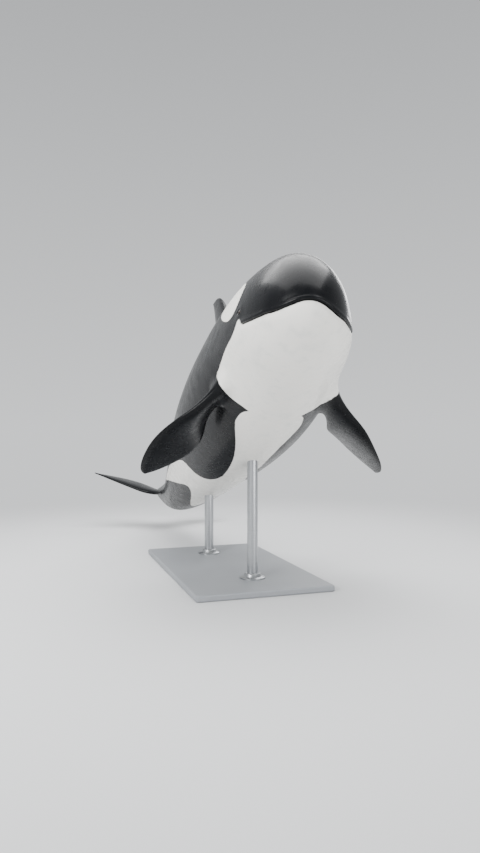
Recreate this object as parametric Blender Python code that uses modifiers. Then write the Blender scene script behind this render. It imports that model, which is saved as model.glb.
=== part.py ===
"""A subadult male orca swimming with its head raised, on a plain display stand.

Metres, +Z up, head towards -Y. The origin is the centre of the stand's base, on the floor.
The animal is modelled whole, as rings of points round its spine with the five fins grown out
of that surface, and is then parted into its named pieces by thin cuts.
"""

import math

import bmesh
import bpy
import numpy as np
from mathutils import Matrix, Vector

# Driving dimensions
LENGTH = 6.5  # snout to fluke notch, along the spine
GAP = 0.0003  # air between two pieces that meet

# Where the snout is, and how the head is held
SNOUT = (0.59, -2.52, 2.437)
HEAD_YAW = 6.0
HEAD_PITCH = 9.5
HEAD_ROLL = 4.2

# Bends of the spine, in degrees, each with the stations where it starts and ends.
# A station is a distance along the spine in body lengths, 0 at the snout.
NECK_DROP = (15.0, 0.06, 0.30)
LOIN_DROP = (4.5, 0.28, 0.66)
TAIL_LIFT = (28.0, 0.60, 0.99)
SIDE_BEND = (12.0, 0.06, 0.42)
CHEST_TWIST = (8.0, 0.12, 0.45)
TAIL_TWIST = (12.0, 0.45, 0.90)

# Body sections, in body lengths: station, back, belly, half width and level of the widest line
SECTIONS = (
    (0.000, -0.0130, -0.0130, 0.0000, -0.0130),
    (0.004, 0.0040, -0.0265, 0.0165, -0.0135),
    (0.012, 0.0195, -0.0350, 0.0285, -0.0145),
    (0.025, 0.0355, -0.0430, 0.0405, -0.0165),
    (0.045, 0.0525, -0.0515, 0.0510, -0.0200),
    (0.070, 0.0660, -0.0610, 0.0605, -0.0235),
    (0.100, 0.0765, -0.0705, 0.0685, -0.0220),
    (0.140, 0.0855, -0.0805, 0.0770, -0.0140),
    (0.190, 0.0940, -0.0905, 0.0850, -0.0080),
    (0.260, 0.1005, -0.0985, 0.0920, -0.0050),
    (0.340, 0.1045, -0.1025, 0.0935, -0.0030),
    (0.430, 0.1015, -0.0985, 0.0890, -0.0020),
    (0.530, 0.0910, -0.0870, 0.0770, 0.0000),
    (0.630, 0.0750, -0.0705, 0.0595, 0.0010),
    (0.730, 0.0575, -0.0515, 0.0420, 0.0020),
    (0.820, 0.0410, -0.0350, 0.0275, 0.0020),
    (0.890, 0.0275, -0.0240, 0.0195, 0.0010),
    (0.940, 0.0150, -0.0150, 0.0170, -0.0010),
    (0.970, 0.0085, -0.0080, 0.0130, 0.0000),
    (0.989, 0.0050, 0.0006, 0.0035, 0.0028),
)
TAIL_END = 0.989
END_BULGE = 0.004  # of the tail's end, behind its last section
COLUMNS = 40  # points round a ring, from the right side over the back
SIDE_CROWDING = 0.35  # how much closer the columns stand at the sides

# Fin roots: first and last station, column fraction of a turn, half width in columns
DORSAL_ROOT = (0.350, 0.535, 0.250, 1)
RIGHT_ROOT = (0.172, 0.252, 0.875, 1)
LEFT_ROOT = (0.172, 0.252, 0.625, 1)
RIGHT_FLUKE_ROOT = (0.885, 0.982, 0.000, 3)
LEFT_FLUKE_ROOT = (0.885, 0.982, 0.500, 3)
RINGS_BETWEEN = (
    (0.000, 0.004, 1),
    (0.004, 0.045, 5),
    (0.045, 0.100, 4),
    (0.100, 0.172, 4),
    (0.172, 0.252, 6),
    (0.252, 0.350, 4),
    (0.350, 0.535, 7),
    (0.535, 0.760, 6),
    (0.760, 0.885, 5),
    (0.885, 0.982, 6),
    (0.982, 0.989, 1),
)
WARP_REACH = 2.2  # how far round a fin root the grid gives way, in root half widths

# Dorsal fin. Its edges are curves drawn by shares of its set back and height.
DORSAL_FRONT = 0.365
DORSAL_MIDDLE = 0.440
DORSAL_REAR = 0.520
DORSAL_SUNK = 0.03  # its base line under the skin
DORSAL_HEIGHT = 1.30
DORSAL_SET_BACK = 1.04
DORSAL_LEAD = ((0.00, 0.00), (0.30, 0.42), (0.62, 0.98), (0.93, 1.00))
DORSAL_TRAIL = ((0.97, 0.00), (0.78, 0.22), (0.80, 0.62), (1.00, 0.955))
DORSAL_LEAN = -6.0
DORSAL_THICKNESS = 0.13
DORSAL_TAPER = 0.82  # share of the thickness lost at the tip
DORSAL_BLUNTNESS = 9

# Flippers
FLIPPER_LENGTH = 1.12
FLIPPER_WIDTH = 0.58
FLIPPER_WRIST = 0.46  # width at the root, as a share of the greatest
FLIPPER_WIDEST = 0.575  # place of the greatest width along the flipper
FLIPPER_THICKNESS = 0.10
FLIPPER_TAPER = 0.75
FLIPPER_BLUNTNESS = 4.5
FLIPPER_BACKSET = 0.04
FLIPPER_SKEW = 0.20
FLIPPER_STAND_OFF = 0.04
TWIST_ENDS = 0.7  # place along a fin where its twist is complete
# Station, degrees round the body, then sweep, droop and twist in degrees
RIGHT_FLIPPER = (0.215, -38.0, 50.0, 42.0, 25.0)
LEFT_FLIPPER = (0.221, 218.0, 45.0, 25.0, -18.0)

# Flukes
FLUKE_MIDDLE = 0.942  # station about which the flukes are pitched
FLUKE_NOTCH = 0.996  # station of the notch, where the trailing edges meet
FLUKE_SPAN = 1.02
FLUKE_CHORD = 0.62
FLUKE_SWEEP = 0.70
FLUKE_LEAD_POWER = 1.2  # how late the leading edge sweeps back
FLUKE_BULGE = 0.11
FLUKE_BULGE_POWER = 0.8  # how near the notch the bulge is
FLUKE_TIP_CHORD = 0.05  # before the tip is rounded
FLUKE_THICKNESS = 0.085
FLUKE_TAPER = 0.85
FLUKE_BLUNTNESS = 8
FLUKE_DROOP = -5.5
FLUKE_LOW = 0.04  # flukes below the spine's line
FLUKE_PITCH = 11.0  # trailing edge raised

FIN_RINGS = 9
FILLET_RINGS = 3
ROOT_INSIDE = 0.9  # place in a root's ellipse that a fillet's first slope points to
FIN_STEP = 0.02  # step along a fin that gives its fillet's last slope


def spline(x, xs, ys):
    """A smooth curve through the points (xs, ys), read at x."""
    slopes = np.gradient(ys, xs)
    left = np.clip(np.searchsorted(xs, x) - 1, 0, len(xs) - 2)
    width = xs[left + 1] - xs[left]
    t = (x - xs[left]) / width
    start = (1 + 2 * t) * (1 - t) ** 2 * ys[left] + t * (1 - t) ** 2 * width * slopes[left]
    end = t * t * (3 - 2 * t) * ys[left + 1] + t * t * (t - 1) * width * slopes[left + 1]
    return start + end


def ramp(x, start, end):
    """0 before start, 1 after end, smooth between."""
    t = np.clip((x - start) / (end - start), 0, 1)
    return t * t * (3 - 2 * t)


def bend(station, degrees, start, end):
    return math.radians(degrees) * ramp(station, start, end)


def turn(axis, degrees):
    """The matrix that turns a vector by this angle about a world axis."""
    angle = math.radians(degrees)
    flat = {"X": (1, 2), "Y": (2, 0), "Z": (0, 1)}[axis]
    matrix = np.eye(3)
    matrix[flat[0], flat[0]] = matrix[flat[1], flat[1]] = math.cos(angle)
    matrix[flat[0], flat[1]] = -math.sin(angle)
    matrix[flat[1], flat[0]] = math.sin(angle)
    return matrix


FACING = np.diag((-1.0, -1.0, 1.0))
HEAD = turn("Z", HEAD_YAW) @ turn("X", -HEAD_PITCH) @ turn("Y", HEAD_ROLL) @ FACING


def lean(station):
    """The spine's pitch and yaw against the head, and its twist, in radians."""
    pitch = bend(station, *TAIL_LIFT) - bend(station, *NECK_DROP) - bend(station, *LOIN_DROP)
    yaw = bend(station, *SIDE_BEND)
    twist = bend(station, *CHEST_TWIST) - bend(station, *TAIL_TWIST)
    return pitch, yaw, twist


def backward(pitch, yaw):
    return np.stack([np.sin(yaw), -np.cos(yaw) * np.cos(pitch), np.cos(yaw) * np.sin(pitch)], -1)


SPINE_COUNT = 261
SPINE_STATIONS = np.linspace(0, 1, SPINE_COUNT)
SPINE_STEPS = backward(*lean(SPINE_STATIONS)[:2])
SPINE_POINTS = np.zeros((SPINE_COUNT, 3))
SPINE_POINTS[1:] = np.cumsum((SPINE_STEPS[1:] + SPINE_STEPS[:-1]) / 2, 0) * LENGTH / (SPINE_COUNT - 1)


def spine(station):
    """Centre, and unit vectors forward, up and to the animal's right, at each station."""
    station = np.asarray(station, float)
    centre = np.stack([np.interp(station, SPINE_STATIONS, line) for line in SPINE_POINTS.T], -1)
    pitch, yaw, twist = lean(station)
    forward = -backward(pitch, yaw)
    up = np.stack([0 * pitch, np.sin(pitch), np.cos(pitch)], -1)
    up -= (up * forward).sum(-1, keepdims=True) * forward
    up /= np.linalg.norm(up, axis=-1, keepdims=True)
    right = np.cross(forward, up)
    cos, sin = np.cos(twist)[..., None], np.sin(twist)[..., None]
    up, right = up * cos + right * sin, right * cos - up * sin
    return SNOUT + centre @ HEAD.T, forward @ HEAD.T, up @ HEAD.T, right @ HEAD.T


TABLE = np.array(SECTIONS)


def flesh(station, angle):
    """Points of the body's surface; the angle starts at the right side and passes the back."""
    root = np.sqrt(np.clip(station, 0, 1))
    columns = [spline(root, np.sqrt(TABLE[:, 0]), TABLE[:, k]) * LENGTH for k in (1, 2, 3, 4)]
    back, belly, half_width, level = columns
    height = np.where(np.sin(angle) > 0, back - level, level - belly)
    centre, _, up, right = spine(station)
    across = half_width * np.cos(angle)
    rise = level + height * np.sin(angle)
    return centre + right * across[..., None] + up * rise[..., None]


def column_angle(column):
    turned = 2 * math.pi * column / COLUMNS
    return turned - SIDE_CROWDING / 2 * np.sin(2 * turned)


def ring_stations():
    rows = [np.linspace(a, b, n, endpoint=False) for a, b, n in RINGS_BETWEEN]
    return np.concatenate(rows + [[TAIL_END]])


STATIONS = ring_stations()


def block_of(root):
    """The grid block of a fin root: its middle ring and column, and its half sizes."""
    first, last = (int(np.argmin(abs(STATIONS - s))) for s in root[:2])
    return (first + last) / 2, (last - first) / 2, root[2] * COLUMNS, root[3]


def block_place(ring, column, block):
    """Grid places counted from the block's middle, 1 at its edge."""
    middle, half_rings, middle_column, half_columns = block
    across = (column - middle_column + COLUMNS / 2) % COLUMNS - COLUMNS / 2
    return (ring - middle) / half_rings, across / half_columns


def round_off(ring, column, block):
    """Moves grid places so that the block's square edge becomes an ellipse."""
    u, v = block_place(ring, column, block)
    square = np.maximum(abs(u), abs(v))
    circle = np.maximum(np.hypot(u, v), 1e-9)
    fade = 1 - ramp(square, 1.0, WARP_REACH)
    stretch = (square / circle - 1) * fade
    return ring + u * stretch * block[1], column + v * stretch * block[3]


def bezier(points, t):
    a, b, c, d = np.array(points, float)
    return a * (1 - t) ** 3 + 3 * b * t * (1 - t) ** 2 + 3 * c * t * t * (1 - t) + d * t**3


def pinched(lead, trail, t, bluntness):
    """Both edges drawn together towards the tip, which rounds it."""
    middle = (lead + trail) / 2
    half = (trail - lead) / 2 * np.sqrt(1 - t**bluntness)
    return middle - half, middle + half


def dorsal_plan(t):
    """Leading and trailing points, as distance back and height, and thickness."""
    lead, trail = (
        bezier(edge, t) * (DORSAL_SET_BACK, DORSAL_HEIGHT) for edge in (DORSAL_LEAD, DORSAL_TRAIL)
    )
    return *pinched(lead, trail, t, DORSAL_BLUNTNESS), DORSAL_THICKNESS * (1 - DORSAL_TAPER * t)


def flipper_plan(t):
    """A paddle, whose sections turn from along the body at the root to square at the tip."""
    swell = FLIPPER_WRIST + (1 - FLIPPER_WRIST) * np.sin(math.pi * t / FLIPPER_WIDEST / 2)
    half = FLIPPER_WIDTH / 2 * swell * np.sqrt(1 - t**FLIPPER_BLUNTNESS)
    middle = FLIPPER_BACKSET * np.sin(math.pi * t)
    skew = FLIPPER_SKEW * (1 - t) ** 1.5
    lead = np.stack([middle - half, FLIPPER_LENGTH * t - skew], -1)
    trail = np.stack([middle + half, FLIPPER_LENGTH * t + skew], -1)
    return lead, trail, FLIPPER_THICKNESS * (1 - FLIPPER_TAPER * t)


def fluke_plan(t):
    """A swept leading edge and an S-shaped trailing edge, which bulges behind the notch."""
    out = FLUKE_SPAN * t
    lead = FLUKE_SWEEP * t**FLUKE_LEAD_POWER - FLUKE_CHORD
    trail = FLUKE_BULGE * np.sin(math.pi * t**FLUKE_BULGE_POWER)
    trail += (FLUKE_SWEEP - FLUKE_CHORD + FLUKE_TIP_CHORD) * t
    lead, trail = np.stack([lead, out], -1), np.stack([trail, out], -1)
    return *pinched(lead, trail, t, FLUKE_BLUNTNESS), FLUKE_THICKNESS * (1 - FLUKE_TAPER * t)


def fin_frame(name):
    """Where a fin stands: origin, chord axis to the rear, span axis, and twist towards its tip."""
    if name == "dorsal_fin":
        front, rear = flesh(np.array([DORSAL_FRONT, DORSAL_REAR]), np.full(2, math.pi / 2))
        _, _, up, right = spine(DORSAL_MIDDLE)
        tilt = math.radians(DORSAL_LEAN)
        chord = (rear - front) / np.linalg.norm(rear - front)
        span = up * math.cos(tilt) + right * math.sin(tilt)
        return front - DORSAL_SUNK * up, chord, span, 0.0
    side = 1 if "right" in name else -1
    if "flipper" in name:
        station, *angles = RIGHT_FLIPPER if side > 0 else LEFT_FLIPPER
        around, sweep, droop, twist = np.radians(angles)
        _, forward, up, right = spine(station)
        out = side * right * math.cos(droop) - up * math.sin(droop)
        origin = flesh(np.array(station), around) + FLIPPER_STAND_OFF * out
        span = out * math.cos(sweep) - forward * math.sin(sweep)
        chord = -forward + (forward @ span) * span
        return origin, chord / np.linalg.norm(chord), span, -side * twist
    middle, forward, up, right = spine(FLUKE_MIDDLE)
    droop, pitch = math.radians(FLUKE_DROOP), math.radians(FLUKE_PITCH)
    span = side * right * math.cos(droop) - up * math.sin(droop)
    chord = up * math.sin(pitch) - forward * math.cos(pitch)
    notch = middle + chord * (FLUKE_NOTCH - FLUKE_MIDDLE) * LENGTH - up * FLUKE_LOW
    return notch, chord, span, 0.0


# Root, plan, and the place along the fin where its fillet ends
FINS = {
    "dorsal_fin": (DORSAL_ROOT, dorsal_plan, 0.16),
    "flipper_right": (RIGHT_ROOT, flipper_plan, 0.16),
    "flipper_left": (LEFT_ROOT, flipper_plan, 0.16),
    "fluke_right": (RIGHT_FLUKE_ROOT, fluke_plan, 0.19),
    "fluke_left": (LEFT_FLUKE_ROOT, fluke_plan, 0.19),
}
TIP = 0.996  # the last ring's place along a fin


def foil(name, t, around, spread):
    """Points of a fin's section at t; around is 0 at its leading edge, spread is 1 on the skin."""
    root, plan, _ = FINS[name]
    origin, chord, span, twist = fin_frame(name)
    lead, trail, thick = plan(t)
    share = (1 - spread * np.cos(around)) / 2
    flat = lead * (1 - share[:, None]) + trail * share[:, None]
    side = 0.5 * thick * spread * np.sin(around) * (1 + 0.5 * np.cos(around))
    normal = np.cross(chord, span)
    column = block_of(root)[2]
    station = np.array(root[:2]).mean()
    rising = flesh(station, column_angle(column + 0.5)) - flesh(station, column_angle(column - 0.5))
    turned = twist * ramp(t, 0.0, TWIST_ENDS)
    across = normal * math.cos(turned) - chord * math.sin(turned)
    along = chord * math.cos(turned) + normal * math.sin(turned)
    side *= np.sign(normal @ rising)
    return origin + flat[:, :1] * along + flat[:, 1:] * span + side[:, None] * across


class Surface:
    """Points and faces of one closed surface."""

    def __init__(self):
        self.points = []
        self.faces = []

    def add(self, points):
        first = len(self.points)
        self.points.extend(np.reshape(points, (-1, 3)))
        return first + np.arange(np.size(points) // 3).reshape(np.shape(points)[:-1])

    def patch(self, index):
        """Quads over a block of point numbers."""
        corners = (index[:-1, :-1], index[:-1, 1:], index[1:, 1:], index[1:, :-1])
        self.faces += np.stack(corners, -1).reshape(-1, 4).tolist()


def grow_fin(surface, index, name):
    """Lofts a fin out of the grid block that its root covers."""
    root, plan, fillet_end = FINS[name]
    middle, half_rings, middle_column, half_columns = block_of(root)
    rings = np.arange(int(middle - half_rings), int(middle + half_rings) + 1)
    columns = np.arange(int(middle_column - half_columns), int(middle_column + half_columns) + 1)
    last = len(rings) - 1, len(columns) - 1
    walk = [(0, j) for j in range(last[1])] + [(i, last[1]) for i in range(last[0])]
    walk += [(last[0], j) for j in range(last[1], 0, -1)] + [(i, 0) for i in range(last[0], 0, -1)]
    rows, cols = np.array(walk).T
    u, v = (rows / last[0]) * 2 - 1, (cols / last[1]) * 2 - 1
    around = np.arctan2(v, -u)
    loop = index[rings[rows], columns[cols] % COLUMNS]
    edge = np.array([surface.points[k] for k in loop])

    inner = ROOT_INSIDE / np.hypot(u, v)
    ring_in = middle + u * inner * half_rings
    column_in = middle_column + v * inner * half_columns
    inward = flesh(np.interp(ring_in, np.arange(len(STATIONS)), STATIONS), column_angle(column_in))
    inward -= edge
    inward /= np.linalg.norm(inward, axis=1, keepdims=True)
    start = foil(name, fillet_end, around, 1.0)
    outward = foil(name, fillet_end + FIN_STEP, around, 1.0) - start
    outward /= np.linalg.norm(outward, axis=1, keepdims=True)
    reach = np.linalg.norm(start - edge, axis=1, keepdims=True)

    loops = [loop]
    for t in np.linspace(0, 1, FILLET_RINGS + 1)[1:-1]:
        ends = (1 + 2 * t) * (1 - t) ** 2 * edge + t * t * (3 - 2 * t) * start
        bows = t * (1 - t) ** 2 * reach * inward - t * t * (t - 1) * -reach * outward
        loops.append(surface.add(ends + bows))
    spaced = np.sin(np.linspace(0, math.pi / 2, FIN_RINGS))
    for t in fillet_end + (TIP - fillet_end) * spaced:
        loops.append(surface.add(foil(name, t, around, 1.0)))
    for near, far in zip(loops[:-1], loops[1:]):
        surface.patch(np.stack([np.append(near, near[0]), np.append(far, far[0])]).T[:, ::-1])

    cap = np.zeros((len(rings), len(columns)), int)
    cap[rows, cols] = loops[-1]
    i, j = np.meshgrid(np.arange(1, last[0]), np.arange(1, last[1]), indexing="ij")
    u, v = (i / last[0]) * 2 - 1, (j / last[1]) * 2 - 1
    spread = np.maximum(abs(u), abs(v)).ravel()
    cap_points = foil(name, TIP, np.arctan2(v, -u).ravel(), spread)
    cap[1:-1, 1:-1] = surface.add(cap_points).reshape(i.shape)
    surface.patch(cap)


def whole_animal(swell=0.0):
    """The animal as one closed mesh, its surface moved out by swell."""
    surface = Surface()
    ring, column = np.meshgrid(np.arange(1.0, len(STATIONS)), np.arange(float(COLUMNS)), indexing="ij")
    blocks = [block_of(root) for root, _, _ in FINS.values()]
    places = ring.copy(), column.copy()
    for block in blocks:
        places = round_off(*places, block)
    stations = np.interp(places[0], np.arange(len(STATIONS)), STATIONS)
    grid = surface.add(flesh(stations, column_angle(places[1])))
    index = np.vstack([np.full((1, COLUMNS), -1), grid])
    rear = flesh(np.full(2, TAIL_END), np.array((0.0, math.pi))).mean(0)
    ends = flesh(np.array(0.0), np.array(0.0)), rear - END_BULGE * spine(TAIL_END)[1]
    for here, there in ((index[1], ends[0]), (index[-1][::-1], ends[1])):
        tip = surface.add(there)
        surface.faces += [[int(tip), int(b), int(a)] for a, b in zip(here, np.roll(here, -1))]
    taken = np.zeros((len(STATIONS), COLUMNS), bool)
    for middle, half_rings, middle_column, half_columns in blocks:
        rows = np.arange(int(middle - half_rings), int(middle + half_rings))
        cols = np.arange(int(middle_column - half_columns), int(middle_column + half_columns)) % COLUMNS
        taken[np.ix_(rows, cols)] = True
    wrapped = np.hstack([index, index[:, :1]])
    for i in range(1, len(STATIONS) - 1):
        for j in range(COLUMNS):
            if not taken[i, j]:
                surface.patch(wrapped[i : i + 2, j : j + 2])
    for name in FINS:
        grow_fin(surface, index, name)
    mesh = bpy.data.meshes.new("animal")
    mesh.from_pydata([tuple(p) for p in surface.points], [], surface.faces)
    mesh.update()
    if swell:
        normals = [v.normal.copy() for v in mesh.vertices]
        for vertex, normal in zip(mesh.vertices, normals):
            vertex.co += normal * swell
    return mesh


# Where the body is parted, as stations
CUTS = {
    "head": (-0.05, 0.125),
    "chest": (0.125, 0.340),
    "trunk": (0.340, 0.560),
    "loin": (0.560, 0.760),
    "tail_stock": (0.760, 1.050),
}
SLAB_HALF = 1.1  # half side of the blocks that part the body

# The fins' cuts: station, angle round the body in degrees, height over the skin there, and
# the block's reach to the front, to the rear, and to each side
FIN_CUTS = {
    "dorsal_fin": (0.44, 90, 0.060, 0.9, 1.3, 0.6),
    "flipper_right": (0.21, -40, 0.050, 0.6, 1.5, 0.75),
    "flipper_left": (0.21, 220, 0.050, 0.6, 1.5, 0.75),
    "fluke_right": (0.945, 0, 0.050, 0.7, 0.9, 0.5),
    "fluke_left": (0.945, 180, 0.050, 0.7, 0.9, 0.5),
}
FIN_CUT_DEPTH = 1.7

# The mouth line from the tip of the snout to the corner, as stations and levels
MOUTH_LINE = (
    (0.0000, -0.0155),
    (0.0060, -0.0195),
    (0.0150, -0.0230),
    (0.0350, -0.0240),
    (0.0600, -0.0230),
    (0.0815, -0.0205),
)
THROAT_CUT = (0.118, -0.085)  # where the jaw's rear cut leaves the throat
JAW_STEPS = 9
JAW_BLOCK_HALF = 0.8
JAW_BLOCK_AHEAD = 0.10  # of the snout

EYE_STATION = 0.094
EYE_ANGLE = 12.0
EYE_RADIUS = 0.030
EYE_SUNK = 0.024  # the eyeball's centre under the skin's surface
SOCKET_RADIUS = 0.033  # to the corners of its facets, which clear the eyeball

# Stand
BASE_SIZE = (1.30, 2.30, 0.06)
BASE_TURN = 18.0
BASE_BEVEL = 0.015
ROD_RADIUS = 0.050
ROD_STATIONS = {"front": 0.360, "rear": 0.580}
ROD_OVERLAP = 0.30  # of a rod and the belly, before the belly's shape is cut from it
COLLAR_PROFILE = (
    (ROD_RADIUS + GAP, 0.050),
    (0.070, 0.050),
    (0.078, 0.042),
    (0.085, 0.018),
    (0.120, 0.012),
    (0.120, 0.000),
)
ROD_SIDES = 20  # of a rod and its collar


def material(name, colour, roughness, metallic=0.0):
    made = bpy.data.materials.new(name)
    made.use_nodes = True
    shader = made.node_tree.nodes["Principled BSDF"]
    shader.inputs["Base Color"].default_value = (*colour, 1.0)
    shader.inputs["Roughness"].default_value = roughness
    shader.inputs["Metallic"].default_value = metallic
    return made


def collection(name):
    made = bpy.data.collections.new(name)
    bpy.context.scene.collection.children.link(made)
    return made


def place(name, mesh, home, skin):
    made = bpy.data.objects.new(name, mesh)
    made.data.materials.clear()
    made.data.materials.append(skin)
    home.objects.link(made)
    return made


def hull(name, corners, home):
    """A cutter: the convex solid round some points."""
    form = bmesh.new()
    for corner in corners:
        form.verts.new(corner)
    bmesh.ops.convex_hull(form, input=form.verts)
    bmesh.ops.recalc_face_normals(form, faces=form.faces)
    mesh = bpy.data.meshes.new(name)
    form.to_mesh(mesh)
    form.free()
    return cutter(name, mesh, home)


def cutter(name, mesh, home):
    made = bpy.data.objects.new(name, mesh)
    made.hide_render = True
    made.display_type = "WIRE"
    home.objects.link(made)
    return made


def boolean(piece, tool, operation):
    modifier = piece.modifiers.new(tool.name, "BOOLEAN")
    modifier.operation = operation
    modifier.solver = "EXACT"
    modifier.object = tool


def slab(name, first, last, home):
    """The block between two planes square to the spine."""
    corners = []
    for station, inset in ((first, GAP / 2), (last, -GAP / 2)):
        centre, forward, up, right = spine(min(max(station, 0), 1))
        beyond = (station - min(max(station, 0), 1)) * LENGTH
        middle = centre - forward * (beyond + inset)
        for a, b in ((-1, -1), (-1, 1), (1, 1), (1, -1)):
            corners.append(middle + SLAB_HALF * (a * right + b * up))
    return hull(name, corners, home)


def skin_frame(station, angle):
    """A point of the skin, and unit vectors there: outward, forward, and round the body."""
    steps = np.array([0.0, 0.0, 0.01, 0.0]), np.array([0.0, 0.0, 0.0, 0.1])
    spot, _, rearward, round_body = flesh(station + steps[0], angle + steps[1])
    rearward, round_body = rearward - spot, round_body - spot
    outward = np.cross(round_body, rearward)
    outward /= np.linalg.norm(outward)
    forward = -rearward / np.linalg.norm(rearward)
    return spot, outward, forward, np.cross(forward, outward)


def fin_block(name, shift, home):
    """The block that holds a fin, its inner face along the skin; shift moves that face outward."""
    station, angle, height, front, rear, half = FIN_CUTS[name]
    spot, outward, forward, sideways = skin_frame(station, math.radians(angle))
    corners = []
    for depth in (height + shift, height + FIN_CUT_DEPTH):
        for along in (front, -rear):
            for aside in (half, -half):
                corners.append(spot + outward * depth + forward * along + sideways * aside)
    return hull(f"cut_{name}_{'fin' if shift else 'body'}", corners, home)


def jaw_block(name, shift, home):
    """The wedge under the mouth line, as far back as the corners of the mouth."""
    line = np.array(MOUTH_LINE)
    stations = np.linspace(0.0, line[-1, 0], JAW_STEPS)
    levels = spline(stations, line[:, 0], line[:, 1])
    chin = JAW_BLOCK_AHEAD, THROAT_CUT[1] * LENGTH
    side = [(chin[0], levels[0] * LENGTH)] + list(zip(-stations * LENGTH, levels * LENGTH))
    side += [(-THROAT_CUT[0] * LENGTH, chin[1]), chin]
    _, forward, up, right = spine(0.0)
    outline = [np.array(SNOUT) + forward * (x + shift) + up * (z - shift) for x, z in side]
    form = bmesh.new()
    reaches = (-JAW_BLOCK_HALF, JAW_BLOCK_HALF)
    rows = [[form.verts.new(p + right * reach) for p in outline] for reach in reaches]
    form.faces.new(rows[0][::-1])
    form.faces.new(rows[1])
    for k, (here, there) in enumerate(zip(*rows)):
        form.faces.new((here, rows[0][k - len(side) + 1], rows[1][k - len(side) + 1], there))
    bmesh.ops.recalc_face_normals(form, faces=form.faces)
    mesh = bpy.data.meshes.new(name)
    form.to_mesh(mesh)
    form.free()
    return cutter(name, mesh, home)


def ball(name, centre, radius, fineness):
    form = bmesh.new()
    bmesh.ops.create_icosphere(form, subdivisions=fineness, radius=radius)
    mesh = bpy.data.meshes.new(name)
    form.to_mesh(mesh)
    form.free()
    mesh.shade_smooth()
    mesh.transform(Matrix.Translation(Vector(centre)))
    return mesh


def eye_centre(side):
    angle = math.radians(EYE_ANGLE if side > 0 else 180 - EYE_ANGLE)
    spot, outward, _, _ = skin_frame(EYE_STATION, angle)
    return spot - EYE_SUNK * outward


def add_animal(home, tools):
    """The nodes of flesh, each cut from the whole animal, and the eyes."""
    black = material("black skin", (0.012, 0.013, 0.015), 0.25)
    white = material("white skin", (0.78, 0.78, 0.76), 0.28)
    eye = material("eye", (0.02, 0.012, 0.008), 0.05)
    animal = whole_animal()
    sockets = []
    for side, word in ((1, "right"), (-1, "left")):
        place(f"eye_{word}", ball(f"eye_{word}", eye_centre(side), EYE_RADIUS, 3), home, eye)
        socket = ball(f"socket_{word}", eye_centre(side), SOCKET_RADIUS, 2)
        sockets.append(cutter(f"socket_{word}", socket, tools))
    body_side = [fin_block(name, 0.0, tools) for name in FINS]
    for name, (first, last) in CUTS.items():
        piece = place(name, animal.copy(), home, black)
        boolean(piece, slab(f"slab_{name}", first, last, tools), "INTERSECT")
        for block in body_side:
            boolean(piece, block, "DIFFERENCE")
    head = bpy.data.objects["head"]
    boolean(head, jaw_block("cut_jaw_head", 0.0, tools), "DIFFERENCE")
    for socket in sockets:
        boolean(head, socket, "DIFFERENCE")
    jaw = place("lower_jaw", animal.copy(), home, white)
    boolean(jaw, jaw_block("cut_jaw_jaw", GAP, tools), "INTERSECT")
    for name in FINS:
        fin = place(name, animal.copy(), home, black)
        boolean(fin, fin_block(name, GAP, tools), "INTERSECT")


def add_stand(home, tools):
    """A steel plate on the floor and two upright rods, each through a collar."""
    painted = material("painted steel", (0.30, 0.31, 0.33), 0.45, 0.0)
    steel = material("brushed steel", (0.55, 0.56, 0.58), 0.30, 1.0)
    form = bmesh.new()
    bmesh.ops.create_cube(form, size=1.0)
    mesh = bpy.data.meshes.new("stand_base")
    form.to_mesh(mesh)
    form.free()
    mesh.transform(Matrix.Diagonal((*BASE_SIZE, 1.0)))
    base = place("stand_base", mesh, home, painted)
    base.location = (0.0, 0.0, BASE_SIZE[2] / 2)
    base.rotation_euler = (0.0, 0.0, math.radians(BASE_TURN))
    bevel = base.modifiers.new("edges", "BEVEL")
    bevel.width = BASE_BEVEL
    bevel.segments = 2
    swollen = cutter("swollen_animal", whole_animal(GAP * 2), tools)
    for word, station in ROD_STATIONS.items():
        foot = flesh(np.array(station), np.array(-math.pi / 2))
        top = foot[2] + ROD_OVERLAP
        bottom = BASE_SIZE[2] + GAP
        form = bmesh.new()
        radii = {"radius1": ROD_RADIUS, "radius2": ROD_RADIUS}
        bmesh.ops.create_cone(form, cap_ends=True, segments=ROD_SIDES, depth=top - bottom, **radii)
        mesh = bpy.data.meshes.new(f"stand_rod_{word}")
        form.to_mesh(mesh)
        form.free()
        mesh.shade_smooth()
        mesh.set_sharp_from_angle(angle=math.radians(40))
        rod = place(f"stand_rod_{word}", mesh, home, steel)
        rod.location = (foot[0], foot[1], (top + bottom) / 2)
        boolean(rod, swollen, "DIFFERENCE")
        add_collar(word, foot, home, steel)


def add_collar(word, foot, home, steel):
    """The turned ring that a rod stands in."""
    outline = list(COLLAR_PROFILE) + [(COLLAR_PROFILE[0][0], 0.0)]
    mesh = bpy.data.meshes.new(f"stand_collar_{word}")
    count = len(outline)
    edges = [(k, (k + 1) % count) for k in range(count)]
    mesh.from_pydata([(x, 0.0, z) for x, z in outline], edges, [])
    collar = place(f"stand_collar_{word}", mesh, home, steel)
    collar.location = (foot[0], foot[1], BASE_SIZE[2] + GAP)
    turned = collar.modifiers.new("turned", "SCREW")
    turned.steps = turned.render_steps = ROD_SIDES
    turned.use_merge_vertices = True
    turned.merge_threshold = 0.0001


def main():
    for old in list(bpy.data.objects):
        bpy.data.objects.remove(old)
    home, tools = collection("orca"), collection("cutters")
    add_animal(home, tools)
    add_stand(home, tools)


if __name__ == "__main__":
    main()
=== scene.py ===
"""Looks of a life-size orca on its display stand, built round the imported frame.

Metres, +Z up, head towards -Y. Sections follow the model as it is put together: camera, skin,
eyes, stand, and the studio floor and lamps.
"""

import math

import bmesh
import bpy
import numpy as np
from mathutils import Matrix, Vector


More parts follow.
